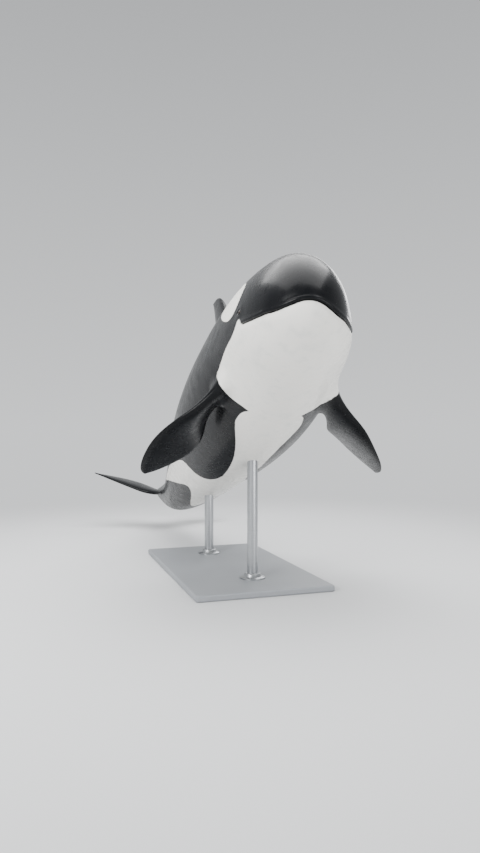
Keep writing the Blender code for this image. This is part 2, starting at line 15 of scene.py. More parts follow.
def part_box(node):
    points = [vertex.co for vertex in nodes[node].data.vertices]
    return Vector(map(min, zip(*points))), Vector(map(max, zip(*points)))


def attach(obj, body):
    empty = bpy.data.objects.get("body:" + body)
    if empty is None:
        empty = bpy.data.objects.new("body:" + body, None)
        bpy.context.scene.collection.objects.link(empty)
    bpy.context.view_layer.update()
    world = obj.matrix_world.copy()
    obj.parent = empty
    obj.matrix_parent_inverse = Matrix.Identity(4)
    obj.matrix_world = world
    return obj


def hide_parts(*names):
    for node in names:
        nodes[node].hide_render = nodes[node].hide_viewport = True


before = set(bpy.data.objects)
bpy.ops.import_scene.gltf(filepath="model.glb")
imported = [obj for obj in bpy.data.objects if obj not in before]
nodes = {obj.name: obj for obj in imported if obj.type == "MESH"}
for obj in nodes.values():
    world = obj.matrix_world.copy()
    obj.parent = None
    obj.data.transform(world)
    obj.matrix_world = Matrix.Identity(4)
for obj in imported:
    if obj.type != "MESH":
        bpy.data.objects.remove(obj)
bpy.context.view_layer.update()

# ---------------------------------------------------------------------------
# Camera. A wide lens at chest height in front of the raised head, held level, so that the
# throat and the belly fill the upper half of an upright frame.
# ---------------------------------------------------------------------------
camera_data = bpy.data.cameras.new("camera")
camera_data.lens = 28.0
camera_data.sensor_width = 36.0
camera = bpy.data.objects.new("camera", camera_data)
camera.location = (0.109, -6.915, 1.5)
camera.rotation_euler = (math.pi / 2, 0.0, 0.0)
bpy.context.scene.collection.objects.link(camera)
bpy.context.scene.camera = camera

# ---------------------------------------------------------------------------
# Skin, the shape under it. The body is rings of points round a bent spine, from the snout to
# the notch of the flukes. A station is a distance along that spine in body lengths.
# ---------------------------------------------------------------------------
LENGTH = 6.5
SNOUT = (0.59, -2.52, 2.437)
HEAD_YAW, HEAD_PITCH, HEAD_ROLL = 6.0, 9.5, 4.2

# Bends of the spine in degrees, with the stations where each starts and ends
NECK_DROP = (15.0, 0.06, 0.30)
LOIN_DROP = (4.5, 0.28, 0.66)
TAIL_LIFT = (28.0, 0.60, 0.99)
SIDE_BEND = (12.0, 0.06, 0.42)
CHEST_TWIST = (8.0, 0.12, 0.45)
TAIL_TWIST = (12.0, 0.45, 0.90)

# Station, back, belly, half width and level of the widest line, in body lengths
SECTIONS = np.array(
    (
        (0.000, -0.0130, -0.0130, 0.0000, -0.0130),
        (0.004, 0.0040, -0.0265, 0.0165, -0.0135),
        (0.012, 0.0195, -0.0350, 0.0285, -0.0145),
        (0.025, 0.0355, -0.0430, 0.0405, -0.0165),
        (0.045, 0.0525, -0.0515, 0.0510, -0.0200),
        (0.070, 0.0660, -0.0610, 0.0605, -0.0235),
        (0.100, 0.0765, -0.0705, 0.0685, -0.0220),
        (0.140, 0.0855, -0.0805, 0.0770, -0.0140),
        (0.190, 0.0940, -0.0905, 0.0850, -0.0080),
        (0.260, 0.1005, -0.0985, 0.0920, -0.0050),
        (0.340, 0.1045, -0.1025, 0.0935, -0.0030),
        (0.430, 0.1015, -0.0985, 0.0890, -0.0020),
        (0.530, 0.0910, -0.0870, 0.0770, 0.0000),
        (0.630, 0.0750, -0.0705, 0.0595, 0.0010),
        (0.730, 0.0575, -0.0515, 0.0420, 0.0020),
        (0.820, 0.0410, -0.0350, 0.0275, 0.0020),
        (0.890, 0.0275, -0.0240, 0.0195, 0.0010),
        (0.940, 0.0150, -0.0150, 0.0170, -0.0010),
        (0.970, 0.0085, -0.0080, 0.0130, 0.0000),
        (0.989, 0.0050, 0.0006, 0.0035, 0.0028),
    )
)
TAIL_END = 0.989
END_BULGE = 0.004  # of the tail's end, behind its last section
SIDE_CROWDING = 0.35  # how much closer the columns stand at the sides
COLUMN_SPLIT, RING_SPLIT = 4, 4  # how much finer the skin's grid is than the solids'
COLUMNS = 40 * COLUMN_SPLIT
RINGS_BETWEEN = (
    (0.000, 0.004, 1),
    (0.004, 0.045, 5),
    (0.045, 0.100, 4),
    (0.100, 0.172, 4),
    (0.172, 0.252, 6),
    (0.252, 0.350, 4),
    (0.350, 0.535, 7),
    (0.535, 0.760, 6),
    (0.760, 0.885, 5),
    (0.885, 0.982, 6),
    (0.982, 0.989, 1),
)


def spline(x, xs, ys):
    """A smooth curve through the points (xs, ys), read at x."""
    slopes = np.gradient(ys, xs)
    left = np.clip(np.searchsorted(xs, x) - 1, 0, len(xs) - 2)
    width = xs[left + 1] - xs[left]
    t = (x - xs[left]) / width
    start = (1 + 2 * t) * (1 - t) ** 2 * ys[left] + t * (1 - t) ** 2 * width * slopes[left]
    end = t * t * (3 - 2 * t) * ys[left + 1] + t * t * (t - 1) * width * slopes[left + 1]
    return start + end


def ramp(x, start, end):
    """0 before start, 1 after end, smooth between."""
    t = np.clip((x - start) / (end - start), 0, 1)
    return t * t * (3 - 2 * t)


def bend(station, degrees, start, end):
    """How far one of the spine's bends has gone at each station, in radians."""
    return math.radians(degrees) * ramp(station, start, end)


def turn(axis, degrees):
    return np.array(Matrix.Rotation(math.radians(degrees), 3, axis))


FACING = np.diag((-1.0, -1.0, 1.0))
HEAD = turn("Z", HEAD_YAW) @ turn("X", -HEAD_PITCH) @ turn("Y", HEAD_ROLL) @ FACING


def lean(station):
    """The spine's pitch and yaw against the head, and its twist, in radians."""
    pitch = bend(station, *TAIL_LIFT) - bend(station, *NECK_DROP) - bend(station, *LOIN_DROP)
    yaw = bend(station, *SIDE_BEND)
    twist = bend(station, *CHEST_TWIST) - bend(station, *TAIL_TWIST)
    return pitch, yaw, twist


def backward(pitch, yaw):
    """The spine's unit direction to the rear, in the head's frame."""
    return np.stack([np.sin(yaw), -np.cos(yaw) * np.cos(pitch), np.cos(yaw) * np.sin(pitch)], -1)


SPINE_COUNT = 261
SPINE_STATIONS = np.linspace(0, 1, SPINE_COUNT)
SPINE_STEPS = backward(*lean(SPINE_STATIONS)[:2])
SPINE_POINTS = np.zeros((SPINE_COUNT, 3))
SPINE_POINTS[1:] = np.cumsum((SPINE_STEPS[1:] + SPINE_STEPS[:-1]) / 2, 0) * LENGTH / (SPINE_COUNT - 1)


def spine(station):
    """Centre, and unit vectors forward, up and to the animal's right, at each station."""
    station = np.asarray(station, float)
    centre = np.stack([np.interp(station, SPINE_STATIONS, line) for line in SPINE_POINTS.T], -1)
    pitch, yaw, twist = lean(station)
    forward = -backward(pitch, yaw)
    up = np.stack([0 * pitch, np.sin(pitch), np.cos(pitch)], -1)
    up -= (up * forward).sum(-1, keepdims=True) * forward
    up /= np.linalg.norm(up, axis=-1, keepdims=True)
    right = np.cross(forward, up)
    cos, sin = np.cos(twist)[..., None], np.sin(twist)[..., None]
    up, right = up * cos + right * sin, right * cos - up * sin
    return SNOUT + centre @ HEAD.T, forward @ HEAD.T, up @ HEAD.T, right @ HEAD.T


def section(station):
    """Back, belly, half width and widest level of the body there, in metres."""
    root, roots = np.sqrt(np.clip(station, 0, 1)), np.sqrt(SECTIONS[:, 0])
    return [spline(root, roots, SECTIONS[:, k]) * LENGTH for k in (1, 2, 3, 4)]


def flesh(station, angle):
    """Points of the body's surface; the angle starts at the right side and passes the back."""
    back, belly, half_width, level = section(station)
    height = np.where(np.sin(angle) > 0, back - level, level - belly)
    centre, _, up, right = spine(station)
    across = half_width * np.cos(angle)
    rise = level + height * np.sin(angle)
    return centre + right * across[..., None] + up * rise[..., None]


UNROLL_CHUNK = 4000  # points measured against the whole spine at a time
UNROLL_ROUNDS = 8
UNROLL_PACE = 0.9  # share of the remaining distance taken in each round


def unroll(points):
    """Each point's station, angle round the body, height over the spine and height over the skin."""
    table = np.linspace(0, 1, 2 * SPINE_COUNT)
    centres = spine(table)[0]
    chunks = [
        table[((part[:, None] - centres) ** 2).sum(-1).argmin(1)]
        for part in np.array_split(points, 1 + len(points) // UNROLL_CHUNK)
    ]
    station = np.concatenate(chunks)
    for _ in range(UNROLL_ROUNDS):
        centre, forward, up, right = spine(station)
        gap = points - centre
        station = np.clip(station - UNROLL_PACE * (gap * forward).sum(-1) / LENGTH, 0, 1)
    centre, forward, up, right = spine(station)
    gap = points - centre
    back, belly, half_width, level = section(station)
    rise = (gap * up).sum(-1)
    height = np.where(rise > level, back - level, level - belly)
    x = (gap * right).sum(-1) / np.maximum(half_width, 1e-4)
    z = (rise - level) / np.maximum(height, 1e-4)
    over = (np.hypot(x, z) - 1) * (half_width + height) / 2
    return station, np.arctan2(z, x), rise, over


def column_angle(column):
    """The angle of a grid column round the body; columns crowd at the sides."""
    turned = 2 * math.pi * column / COLUMNS
    return turned - SIDE_CROWDING / 2 * np.sin(2 * turned)


rows = [np.linspace(a, b, n * RING_SPLIT, endpoint=False) for a, b, n in RINGS_BETWEEN[1:]]
SNOUT_RINGS = 8
crowded = RINGS_BETWEEN[0][1] * np.linspace(0, 1, SNOUT_RINGS, endpoint=False) ** 2
STATIONS = np.concatenate([crowded, *rows, [TAIL_END]])

# ---------------------------------------------------------------------------
# Skin, the fins. Each grows out of a block of the body's grid through a smooth fillet:
# a tall swept dorsal fin, two broad paddles and the two flukes with their notch.
# ---------------------------------------------------------------------------
# Roots: first and last station, middle column as a share of a turn, half width in columns
DORSAL_ROOT = (0.350, 0.535, 0.250, COLUMN_SPLIT)
RIGHT_ROOT = (0.172, 0.252, 0.875, COLUMN_SPLIT)
LEFT_ROOT = (0.172, 0.252, 0.625, COLUMN_SPLIT)
RIGHT_FLUKE_ROOT = (0.885, 0.982, 0.000, 3 * COLUMN_SPLIT)
LEFT_FLUKE_ROOT = (0.885, 0.982, 0.500, 3 * COLUMN_SPLIT)
WARP_REACH = 2.2  # how far round a root the grid gives way, in root half widths

# Dorsal fin. Its edges are curves drawn by shares of its set back and height.
DORSAL_FRONT = 0.365
DORSAL_MIDDLE = 0.440
DORSAL_REAR = 0.520
DORSAL_SUNK = 0.03  # its base line under the skin
DORSAL_HEIGHT = 1.30
DORSAL_SET_BACK = 1.04
DORSAL_LEAD = ((0.00, 0.00), (0.30, 0.42), (0.62, 0.98), (0.93, 1.00))
DORSAL_TRAIL = ((0.97, 0.00), (0.78, 0.22), (0.80, 0.62), (1.00, 0.955))
DORSAL_LEAN = -6.0
DORSAL_THICKNESS = 0.13
DORSAL_TAPER = 0.82  # share of the thickness lost at the tip
DORSAL_BLUNTNESS = 9

FLIPPER_LENGTH = 1.12
FLIPPER_WIDTH = 0.58
FLIPPER_WRIST = 0.46  # width at the root, as a share of the greatest
FLIPPER_WIDEST = 0.575  # place of the greatest width along the flipper
FLIPPER_THICKNESS = 0.10
FLIPPER_TAPER = 0.75
FLIPPER_BLUNTNESS = 4.5
FLIPPER_BACKSET = 0.04
FLIPPER_SKEW = 0.20
FLIPPER_STAND_OFF = 0.04
TWIST_ENDS = 0.7  # place along a fin where its twist is complete
# Station, degrees round the body, then sweep, droop and twist in degrees
RIGHT_FLIPPER = (0.215, -38.0, 50.0, 42.0, 25.0)
LEFT_FLIPPER = (0.221, 218.0, 45.0, 25.0, -18.0)

FLUKE_MIDDLE = 0.942  # station about which the flukes are pitched
FLUKE_NOTCH = 0.996  # station of the notch, where the trailing edges meet
FLUKE_SPAN = 1.02
FLUKE_CHORD = 0.62
FLUKE_SWEEP = 0.70
FLUKE_LEAD_POWER = 1.2  # how late the leading edge sweeps back
FLUKE_BULGE = 0.11
FLUKE_BULGE_POWER = 0.8  # how near the notch the bulge is
FLUKE_TIP_CHORD = 0.05  # before the tip is rounded
FLUKE_THICKNESS = 0.085
FLUKE_TAPER = 0.85
FLUKE_BLUNTNESS = 8
FLUKE_DROOP = -5.5
FLUKE_LOW = 0.04  # flukes below the spine's line
FLUKE_PITCH = 11.0  # trailing edge raised

FIN_RINGS = 30
FILLET_RINGS = 9
ROOT_INSIDE = 0.9  # place in a root's ellipse that a fillet's first slope points to
FIN_STEP = 0.02  # step along a fin that gives its fillet's last slope
TIP = 0.996  # the last ring's place along a fin
FOIL_FULLNESS = 0.5  # how much thicker a fin's section is in front than behind


def block_of(root):
    """The grid block of a fin root: its middle ring and column, and its half sizes."""
    first, last = (int(np.argmin(abs(STATIONS - s))) for s in root[:2])
    return (first + last) / 2, (last - first) / 2, root[2] * COLUMNS, root[3]


def round_off(ring, column, block):
    """Moves grid places so that the block's square edge becomes an ellipse."""
    middle, half_rings, middle_column, half_columns = block
    u = (ring - middle) / half_rings
    v = ((column - middle_column + COLUMNS / 2) % COLUMNS - COLUMNS / 2) / half_columns
    square = np.maximum(abs(u), abs(v))
    stretch = (square / np.maximum(np.hypot(u, v), 1e-9) - 1) * (1 - ramp(square, 1.0, WARP_REACH))
    return ring + u * stretch * half_rings, column + v * stretch * half_columns


def bezier(points, t):
    """The points at t of a curve with four corners."""
    a, b, c, d = np.array(points, float)
    return a * (1 - t) ** 3 + 3 * b * t * (1 - t) ** 2 + 3 * c * t * t * (1 - t) + d * t**3


def pinched(lead, trail, t, bluntness):
    """Both edges drawn together towards the tip, which rounds it."""
    middle = (lead + trail) / 2
    half = (trail - lead) / 2 * np.sqrt(1 - np.asarray(t)[..., None] ** bluntness)
    return middle - half, middle + half


def dorsal_plan(t):
    """Leading and trailing points, as distance back and height, and thickness."""
    lead, trail = (
        bezier(edge, t) * (DORSAL_SET_BACK, DORSAL_HEIGHT) for edge in (DORSAL_LEAD, DORSAL_TRAIL)
    )
    return *pinched(lead, trail, t, DORSAL_BLUNTNESS), DORSAL_THICKNESS * (1 - DORSAL_TAPER * t)


def flipper_plan(t):
    """A paddle, whose sections turn from along the body at the root to square at the tip."""
    swell = FLIPPER_WRIST + (1 - FLIPPER_WRIST) * np.sin(math.pi * t / FLIPPER_WIDEST / 2)
    half = FLIPPER_WIDTH / 2 * swell * np.sqrt(1 - t**FLIPPER_BLUNTNESS)
    middle = FLIPPER_BACKSET * np.sin(math.pi * t)
    skew = FLIPPER_SKEW * (1 - t) ** 1.5
    lead = np.stack([middle - half, FLIPPER_LENGTH * t - skew], -1)
    trail = np.stack([middle + half, FLIPPER_LENGTH * t + skew], -1)
    return lead, trail, FLIPPER_THICKNESS * (1 - FLIPPER_TAPER * t)


def fluke_plan(t):
    """A swept leading edge and an S-shaped trailing edge, which bulges behind the notch."""
    out = FLUKE_SPAN * t
    lead = FLUKE_SWEEP * t**FLUKE_LEAD_POWER - FLUKE_CHORD
    trail = FLUKE_BULGE * np.sin(math.pi * t**FLUKE_BULGE_POWER)
    trail += (FLUKE_SWEEP - FLUKE_CHORD + FLUKE_TIP_CHORD) * t
    lead, trail = np.stack([lead, out], -1), np.stack([trail, out], -1)
    return *pinched(lead, trail, t, FLUKE_BLUNTNESS), FLUKE_THICKNESS * (1 - FLUKE_TAPER * t)


def fin_frame(name):
    """Where a fin stands: origin, chord axis to the rear, span axis, and twist towards its tip."""
    if name == "dorsal_fin":
        front, rear = flesh(np.array([DORSAL_FRONT, DORSAL_REAR]), np.full(2, math.pi / 2))
        _, _, up, right = spine(DORSAL_MIDDLE)
        tilt = math.radians(DORSAL_LEAN)
        chord = (rear - front) / np.linalg.norm(rear - front)
        span = up * math.cos(tilt) + right * math.sin(tilt)
        return front - DORSAL_SUNK * up, chord, span, 0.0
    side = 1 if "right" in name else -1
    if "flipper" in name:
        station, *angles = RIGHT_FLIPPER if side > 0 else LEFT_FLIPPER
        around, sweep, droop, twist = np.radians(angles)
        _, forward, up, right = spine(station)
        out = side * right * math.cos(droop) - up * math.sin(droop)
        origin = flesh(np.array(station), around) + FLIPPER_STAND_OFF * out
        span = out * math.cos(sweep) - forward * math.sin(sweep)
        chord = -forward + (forward @ span) * span
        return origin, chord / np.linalg.norm(chord), span, -side * twist
    middle, forward, up, right = spine(FLUKE_MIDDLE)
    droop, pitch = math.radians(FLUKE_DROOP), math.radians(FLUKE_PITCH)
    span = side * right * math.cos(droop) - up * math.sin(droop)
    chord = up * math.sin(pitch) - forward * math.cos(pitch)
    notch = middle + chord * (FLUKE_NOTCH - FLUKE_MIDDLE) * LENGTH - up * FLUKE_LOW
    return notch, chord, span, 0.0


# Root, plan and the place along the fin where its fillet ends
FINS = {
    "dorsal_fin": (DORSAL_ROOT, dorsal_plan, 0.16),
    "flipper_right": (RIGHT_ROOT, flipper_plan, 0.16),
    "flipper_left": (LEFT_ROOT, flipper_plan, 0.16),
    "fluke_right": (RIGHT_FLUKE_ROOT, fluke_plan, 0.19),
    "fluke_left": (LEFT_FLUKE_ROOT, fluke_plan, 0.19),
}


def foil(name, t, around, spread):
    """Points of a fin's section at t; around is 0 at its leading edge, spread is 1 on the skin."""
    root, plan, _ = FINS[name]
    origin, chord, span, twist = fin_frame(name)
    lead, trail, thick = plan(t)
    share = (1 - spread * np.cos(around)) / 2
    flat = lead * (1 - share[:, None]) + trail * share[:, None]
    side = 0.5 * thick * spread * np.sin(around) * (1 + FOIL_FULLNESS * np.cos(around))
    normal = np.cross(chord, span)
    column = block_of(root)[2]
    station = np.array(root[:2]).mean()
    rising = flesh(station, column_angle(column + 0.5)) - flesh(station, column_angle(column - 0.5))
    turned = twist * ramp(t, 0.0, TWIST_ENDS)
    across = normal * math.cos(turned) - chord * math.sin(turned)
    along = chord * math.cos(turned) + normal * math.sin(turned)
    side *= np.sign(normal @ rising)
    return origin + flat[:, :1] * along + flat[:, 1:] * span + side[:, None] * across


class Surface:
    """Points and faces of one closed surface. Each point notes its fin, and its place there."""

    def __init__(self):
        self.points = []
        self.notes = []
        self.faces = []

    def add(self, points, fin=-1.0, along=0.0, share=0.0):
        """Adds points with their notes, and returns their numbers."""
        first, count = len(self.points), np.size(points) // 3
        self.points.extend(np.reshape(points, (-1, 3)))
        note = np.broadcast_arrays(np.full(count, fin), along, np.ravel(share))
        self.notes.extend(np.stack(note, -1))
        return first + np.arange(count).reshape(np.shape(points)[:-1])

    def patch(self, index):
        """Quads over a block of point numbers."""
        corners = (index[:-1, :-1], index[:-1, 1:], index[1:, 1:], index[1:, :-1])
        self.faces += np.stack(corners, -1).reshape(-1, 4).tolist()


def grow_fin(surface, index, name):
    """Lofts a fin out of the grid block that its root covers."""
    root, plan, fillet_end = FINS[name]
    number = list(FINS).index(name)
    middle, half_rings, middle_column, half_columns = block_of(root)
    rings = np.arange(int(middle - half_rings), int(middle + half_rings) + 1)
    columns = np.arange(int(middle_column - half_columns), int(middle_column + half_columns) + 1)
    last = len(rings) - 1, len(columns) - 1
    walk = [(0, j) for j in range(last[1])] + [(i, last[1]) for i in range(last[0])]
    walk += [(last[0], j) for j in range(last[1], 0, -1)] + [(i, 0) for i in range(last[0], 0, -1)]
    rows, cols = np.array(walk).T
    u, v = (rows / last[0]) * 2 - 1, (cols / last[1]) * 2 - 1
    around = np.arctan2(v, -u)
    share = (1 - np.cos(around)) / 2
    loop = index[rings[rows], columns[cols] % COLUMNS]
    edge = np.array([surface.points[k] for k in loop])

    inner = ROOT_INSIDE / np.hypot(u, v)
    ring_in = middle + u * inner * half_rings
    column_in = middle_column + v * inner * half_columns
    inward = flesh(np.interp(ring_in, np.arange(len(STATIONS)), STATIONS), column_angle(column_in))
    inward -= edge
    inward /= np.linalg.norm(inward, axis=1, keepdims=True)
    start = foil(name, fillet_end, around, 1.0)
    outward = foil(name, fillet_end + FIN_STEP, around, 1.0) - start
    outward /= np.linalg.norm(outward, axis=1, keepdims=True)
    reach = np.linalg.norm(start - edge, axis=1, keepdims=True)

    loops = [loop]
    for t in np.linspace(0, 1, FILLET_RINGS + 1)[1:-1]:
        ends = (1 + 2 * t) * (1 - t) ** 2 * edge + t * t * (3 - 2 * t) * start
        bows = t * (1 - t) ** 2 * reach * inward - t * t * (t - 1) * -reach * outward
        loops.append(surface.add(ends + bows, number, t * fillet_end, share))
    spaced = np.sin(np.linspace(0, math.pi / 2, FIN_RINGS))
    for t in fillet_end + (TIP - fillet_end) * spaced:
        loops.append(surface.add(foil(name, t, around, 1.0), number, t, share))
    for near, far in zip(loops[:-1], loops[1:]):
        surface.patch(np.stack([np.append(near, near[0]), np.append(far, far[0])]).T[:, ::-1])

    cap = np.zeros((len(rings), len(columns)), int)
    cap[rows, cols] = loops[-1]
    i, j = np.meshgrid(np.arange(1, last[0]), np.arange(1, last[1]), indexing="ij")
    u, v = (i / last[0]) * 2 - 1, (j / last[1]) * 2 - 1
    spread = np.maximum(abs(u), abs(v)).ravel()
    turned = np.arctan2(v, -u).ravel()
    cap_points = foil(name, TIP, turned, spread)
    cap_share = (1 - spread * np.cos(turned)) / 2
    cap[1:-1, 1:-1] = surface.add(cap_points, number, 1.0, cap_share).reshape(i.shape)
    surface.patch(cap)


def whole_animal():
    """The body's grid with its five fins, as one closed surface."""
    surface = Surface()
    ring, column = np.meshgrid(np.arange(1.0, len(STATIONS)), np.arange(float(COLUMNS)), indexing="ij")
    blocks = [block_of(root) for root, _, _ in FINS.values()]
    places = ring.copy(), column.copy()
    for block in blocks:
        places = round_off(*places, block)
    stations = np.interp(places[0], np.arange(len(STATIONS)), STATIONS)
    grid = surface.add(flesh(stations, column_angle(places[1])))
    index = np.vstack([np.full((1, COLUMNS), -1), grid])
    rear = flesh(np.full(2, TAIL_END), np.array((0.0, math.pi))).mean(0)
    ends = flesh(np.array(0.0), np.array(0.0)), rear - END_BULGE * spine(TAIL_END)[1]
    for here, end in ((index[1], ends[0]), (index[-1][::-1], ends[1])):
        tip = surface.add(end)
        surface.faces += [[int(tip), int(b), int(a)] for a, b in zip(here, np.roll(here, -1))]
    taken = np.zeros((len(STATIONS), COLUMNS), bool)
    for middle, half_rings, middle_column, half_columns in blocks:
        rows = np.arange(int(middle - half_rings), int(middle + half_rings))
        cols = np.arange(int(middle_column - half_columns), int(middle_column + half_columns)) % COLUMNS
        taken[np.ix_(rows, cols)] = True
    wrapped = np.hstack([index, index[:, :1]])
    for i in range(1, len(STATIONS) - 1):
        for j in np.flatnonzero(~taken[i]):
            surface.patch(wrapped[i : i + 2, j : j + 2])
    for name in FINS:
        grow_fin(surface, index, name)
    return surface


# ---------------------------------------------------------------------------
# Skin, the outlines of its markings. A white field runs from the chin to behind the vent, with
# a lobe up each flank; there is a white patch behind each eye and a grey saddle on the back.
# ---------------------------------------------------------------------------
# The mouth line from the tip of the snout to the corner, as stations and levels
MOUTH_LINE = np.array(
    (
        (0.0000, -0.0155),
        (0.0060, -0.0195),
        (0.0150, -0.0230),
        (0.0350, -0.0240),
        (0.0600, -0.0230),
        (0.0815, -0.0205),
    )
)
MOUTH_CORNER = MOUTH_LINE[-1, 0]
# Outline of the white field's right half behind the mouth: station, and degrees from the
# midline of the belly. It runs back past the flipper and the flank lobe, round the flank
# patch, and ends behind the vent.
WHITE_EDGE = (
    (0.0800, 93.5),
    (0.0820, 92.6),
    (0.0845, 94.0),
    (0.0875, 95.9),
    (0.0910, 96.2),
    (0.0950, 94.9),
    (0.0990, 92.4),
    (0.1040, 89.0),
    (0.1160, 81.5),
    (0.1400, 75.0),
    (0.1650, 70.0),
    (0.1900, 66.5),
    (0.2080, 65.0),
    (0.2110, 63.0),
    (0.2030, 60.0),
    (0.1930, 56.5),
    (0.1920, 52.5),
    (0.2010, 48.0),
    (0.2105, 43.5),
    (0.2115, 38.0),
    (0.2115, 31.0),
    (0.2145, 24.5),
    (0.2155, 24.3),
    (0.2240, 27.5),
    (0.2400, 30.0),
    (0.2580, 30.5),
    (0.2820, 27.5),
    (0.3080, 23.5),
    (0.3520, 18.5),
    (0.3840, 16.5),
    (0.4160, 15.0),
    (0.4480, 14.5),
    (0.4700, 17.5),
    (0.4860, 24.0),
    (0.4920, 34.0),
    (0.4915, 46.0),
    (0.4940, 55.0),
    (0.5060, 60.5),
    (0.5400, 67.0),
    (0.6000, 77.0),
    (0.6500, 83.0),
    (0.6950, 86.0),
    (0.7000, 82.0),
    (0.6700, 73.0),
    (0.6350, 61.0),
    (0.6000, 48.0),
    (0.5780, 40.0),
    (0.5730, 34.0),
    (0.5860, 27.0),
    (0.6150, 20.0),
    (0.6450, 13.0),
    (0.6680, 6.0),
    (0.6760, 0.0),
)
EYE_PATCH = (0.150, 116.5)
EYE_PATCH_HALF = (0.270, 0.145)
EYE_PATCH_TILT = 5.0
EYE_PATCH_STEPS = 120
EYE_PATCH_TAPER = 0.25  # how much blunter its front is
# The saddle behind the dorsal fin: station, and degrees from the midline of the back
SADDLE_EDGE = (
    (0.560, 0.0),
    (0.535, 8.0),
    (0.510, 20.0),
    (0.480, 33.0),
    (0.472, 41.0),
    (0.492, 47.0),
    (0.530, 46.0),
    (0.570, 37.0),
    (0.600, 25.0),
    (0.628, 13.0),
    (0.640, 0.0),
)
LEFT_SHADE_BLACK = 6.0  # painted shade: degrees by which the left flank's black comes lower than the right's, standing in for the shade on that flank
LEFT_SHADE_BLACK_PLACE = (0.310, 0.075)  # middle and spread of that, as stations
LEFT_SHADE_BLACK_ENDS = (60.0, 90.0)  # degrees from the belly between which it runs out
ROOT_WHITE = 0.035  # how far out on a flipper's front the white runs
FLUKE_MARGIN = 0.055
FLUKE_ROOT_BLACK = 0.02  # share of the fluke from its root on which no white starts
FLUKE_TIP_BLACK = 0.6  # how far the white keeps from the tip, against its edges
FLUKE_ROUNDING = 0.06
FIN_ROUNDING = 0.04
DORSAL_WHITE = -0.02  # no white reaches the dorsal fin
SADDLE_ON_FIN = 0.02  # how far the saddle runs up the dorsal fin
LIP_BLACK = 0.005  # how far below the mouth line the white of the lower lip starts
LIP_BLEND = 0.006
LIP_END = 0.004  # stations over which the lip's black runs out before the mouth's corner
LIP_RISE = (-0.0005, 0.008)  # stations behind the corner where the lip's line lets the white rise
MOUTH_END = (-0.001, 0.003)  # stations behind the corner between which the mouth closes
OPEN_ABOVE = 0.4  # metres by which the lip's line is out of the way behind the corner
FIELD_TOP = 120.0  # degrees from the belly, over the head's white and the mouth line
SMOOTH_STEPS = 10
OFF_BODY = 1.0  # metres to a place beyond the midline, past which an outline is closed


def hump(x, middle, width):
    """A smooth bump, 1 at its middle."""
    return np.exp(-(((x - middle) / width) ** 2))


def mouth_gap(station, rise):
    """Height over the mouth line, in metres, and how far the mouth reaches there, 1 to 0."""
    level = spline(np.minimum(station, MOUTH_CORNER), *MOUTH_LINE.T) * LENGTH
    return rise - level, 1 - ramp(station - MOUTH_CORNER, *MOUTH_END)


def mean_radius(station):
    """The body's radius there, as the mean of its half height and half width."""
    back, belly, half_width, _ = section(station)
    return ((back - belly) / 2 + half_width) / 2


def flattened(station, degrees, level=0.0):
    """Unrolled place of the skin in metres: along the body, and round it from this level."""
    return np.stack([station * LENGTH, np.radians(degrees - level) * mean_radius(station)], -1)


def lesser(first, second, blend):
    """The smaller of two fields, with a rounded corner where they cross."""
    share = np.clip(0.5 + (second - first) / blend / 2, 0, 1)
    return second + (first - second) * share - blend * share * (1 - share)


def smooth_line(corners):
    """A smooth line through the corners, as many short steps."""
    corners = np.array(corners, float)
    padded = np.vstack([2 * corners[0] - corners[1], corners, 2 * corners[-1] - corners[-2]])
    a, b, c, d = padded[:-3, None], padded[1:-2, None], padded[2:-1, None], padded[3:, None]
    t = np.linspace(0, 1, SMOOTH_STEPS, endpoint=False)[None, :, None]
    line = b + t * (c - a) / 2 + t * t * (2 * a - 5 * b + 4 * c - d) / 2
    line = line + t**3 * (3 * b - a - 3 * c + d) / 2
    return np.vstack([line.reshape(-1, corners.shape[1]), corners[-1:]])


def inside_by(places, outline):
    """How far each place lies inside a closed outline, in metres; outside is negative."""
    start, end = outline, np.roll(outline, -1, axis=0)
    run = end - start
    best = np.full(len(places), np.inf)
    crossings = np.zeros(len(places), int)
    for (ax, ay), (_, by), (rx, ry) in zip(start, end, run):
        gx, gy = places[:, 0] - ax, places[:, 1] - ay
        share = np.clip((gx * rx + gy * ry) / max(rx * rx + ry * ry, 1e-12), 0, 1)
        best = np.minimum(best, (gx - share * rx) ** 2 + (gy - share * ry) ** 2)
        if ay != by:
            passes = (ay > places[:, 1]) != (by > places[:, 1])
            crossings += passes & (places[:, 0] < ax + (places[:, 1] - ay) * rx / ry)
    return np.sqrt(best) * np.where(crossings % 2, 1, -1)


def oval(middle, half_sizes, degrees):
    """An egg-shaped outline on the unrolled skin, blunter in front."""
    bearing = np.linspace(0, 2 * math.pi, EYE_PATCH_STEPS, endpoint=False)
    line = np.stack([np.cos(bearing) * half_sizes[0], np.sin(bearing) * half_sizes[1]], -1)
    line[:, 1] *= 1 - EYE_PATCH_TAPER * np.cos(bearing)
    tilt = math.radians(degrees)
    turned = np.array([[math.cos(tilt), math.sin(tilt)], [-math.sin(tilt), math.cos(tilt)]])
    return flattened(np.array(middle[0]), middle[1], middle[1]) + line @ turned


def from_belly(angle):
    """Degrees round the body from the belly's midline, positive on the right side."""
    return (np.degrees(angle) + 270) % 360 - 180


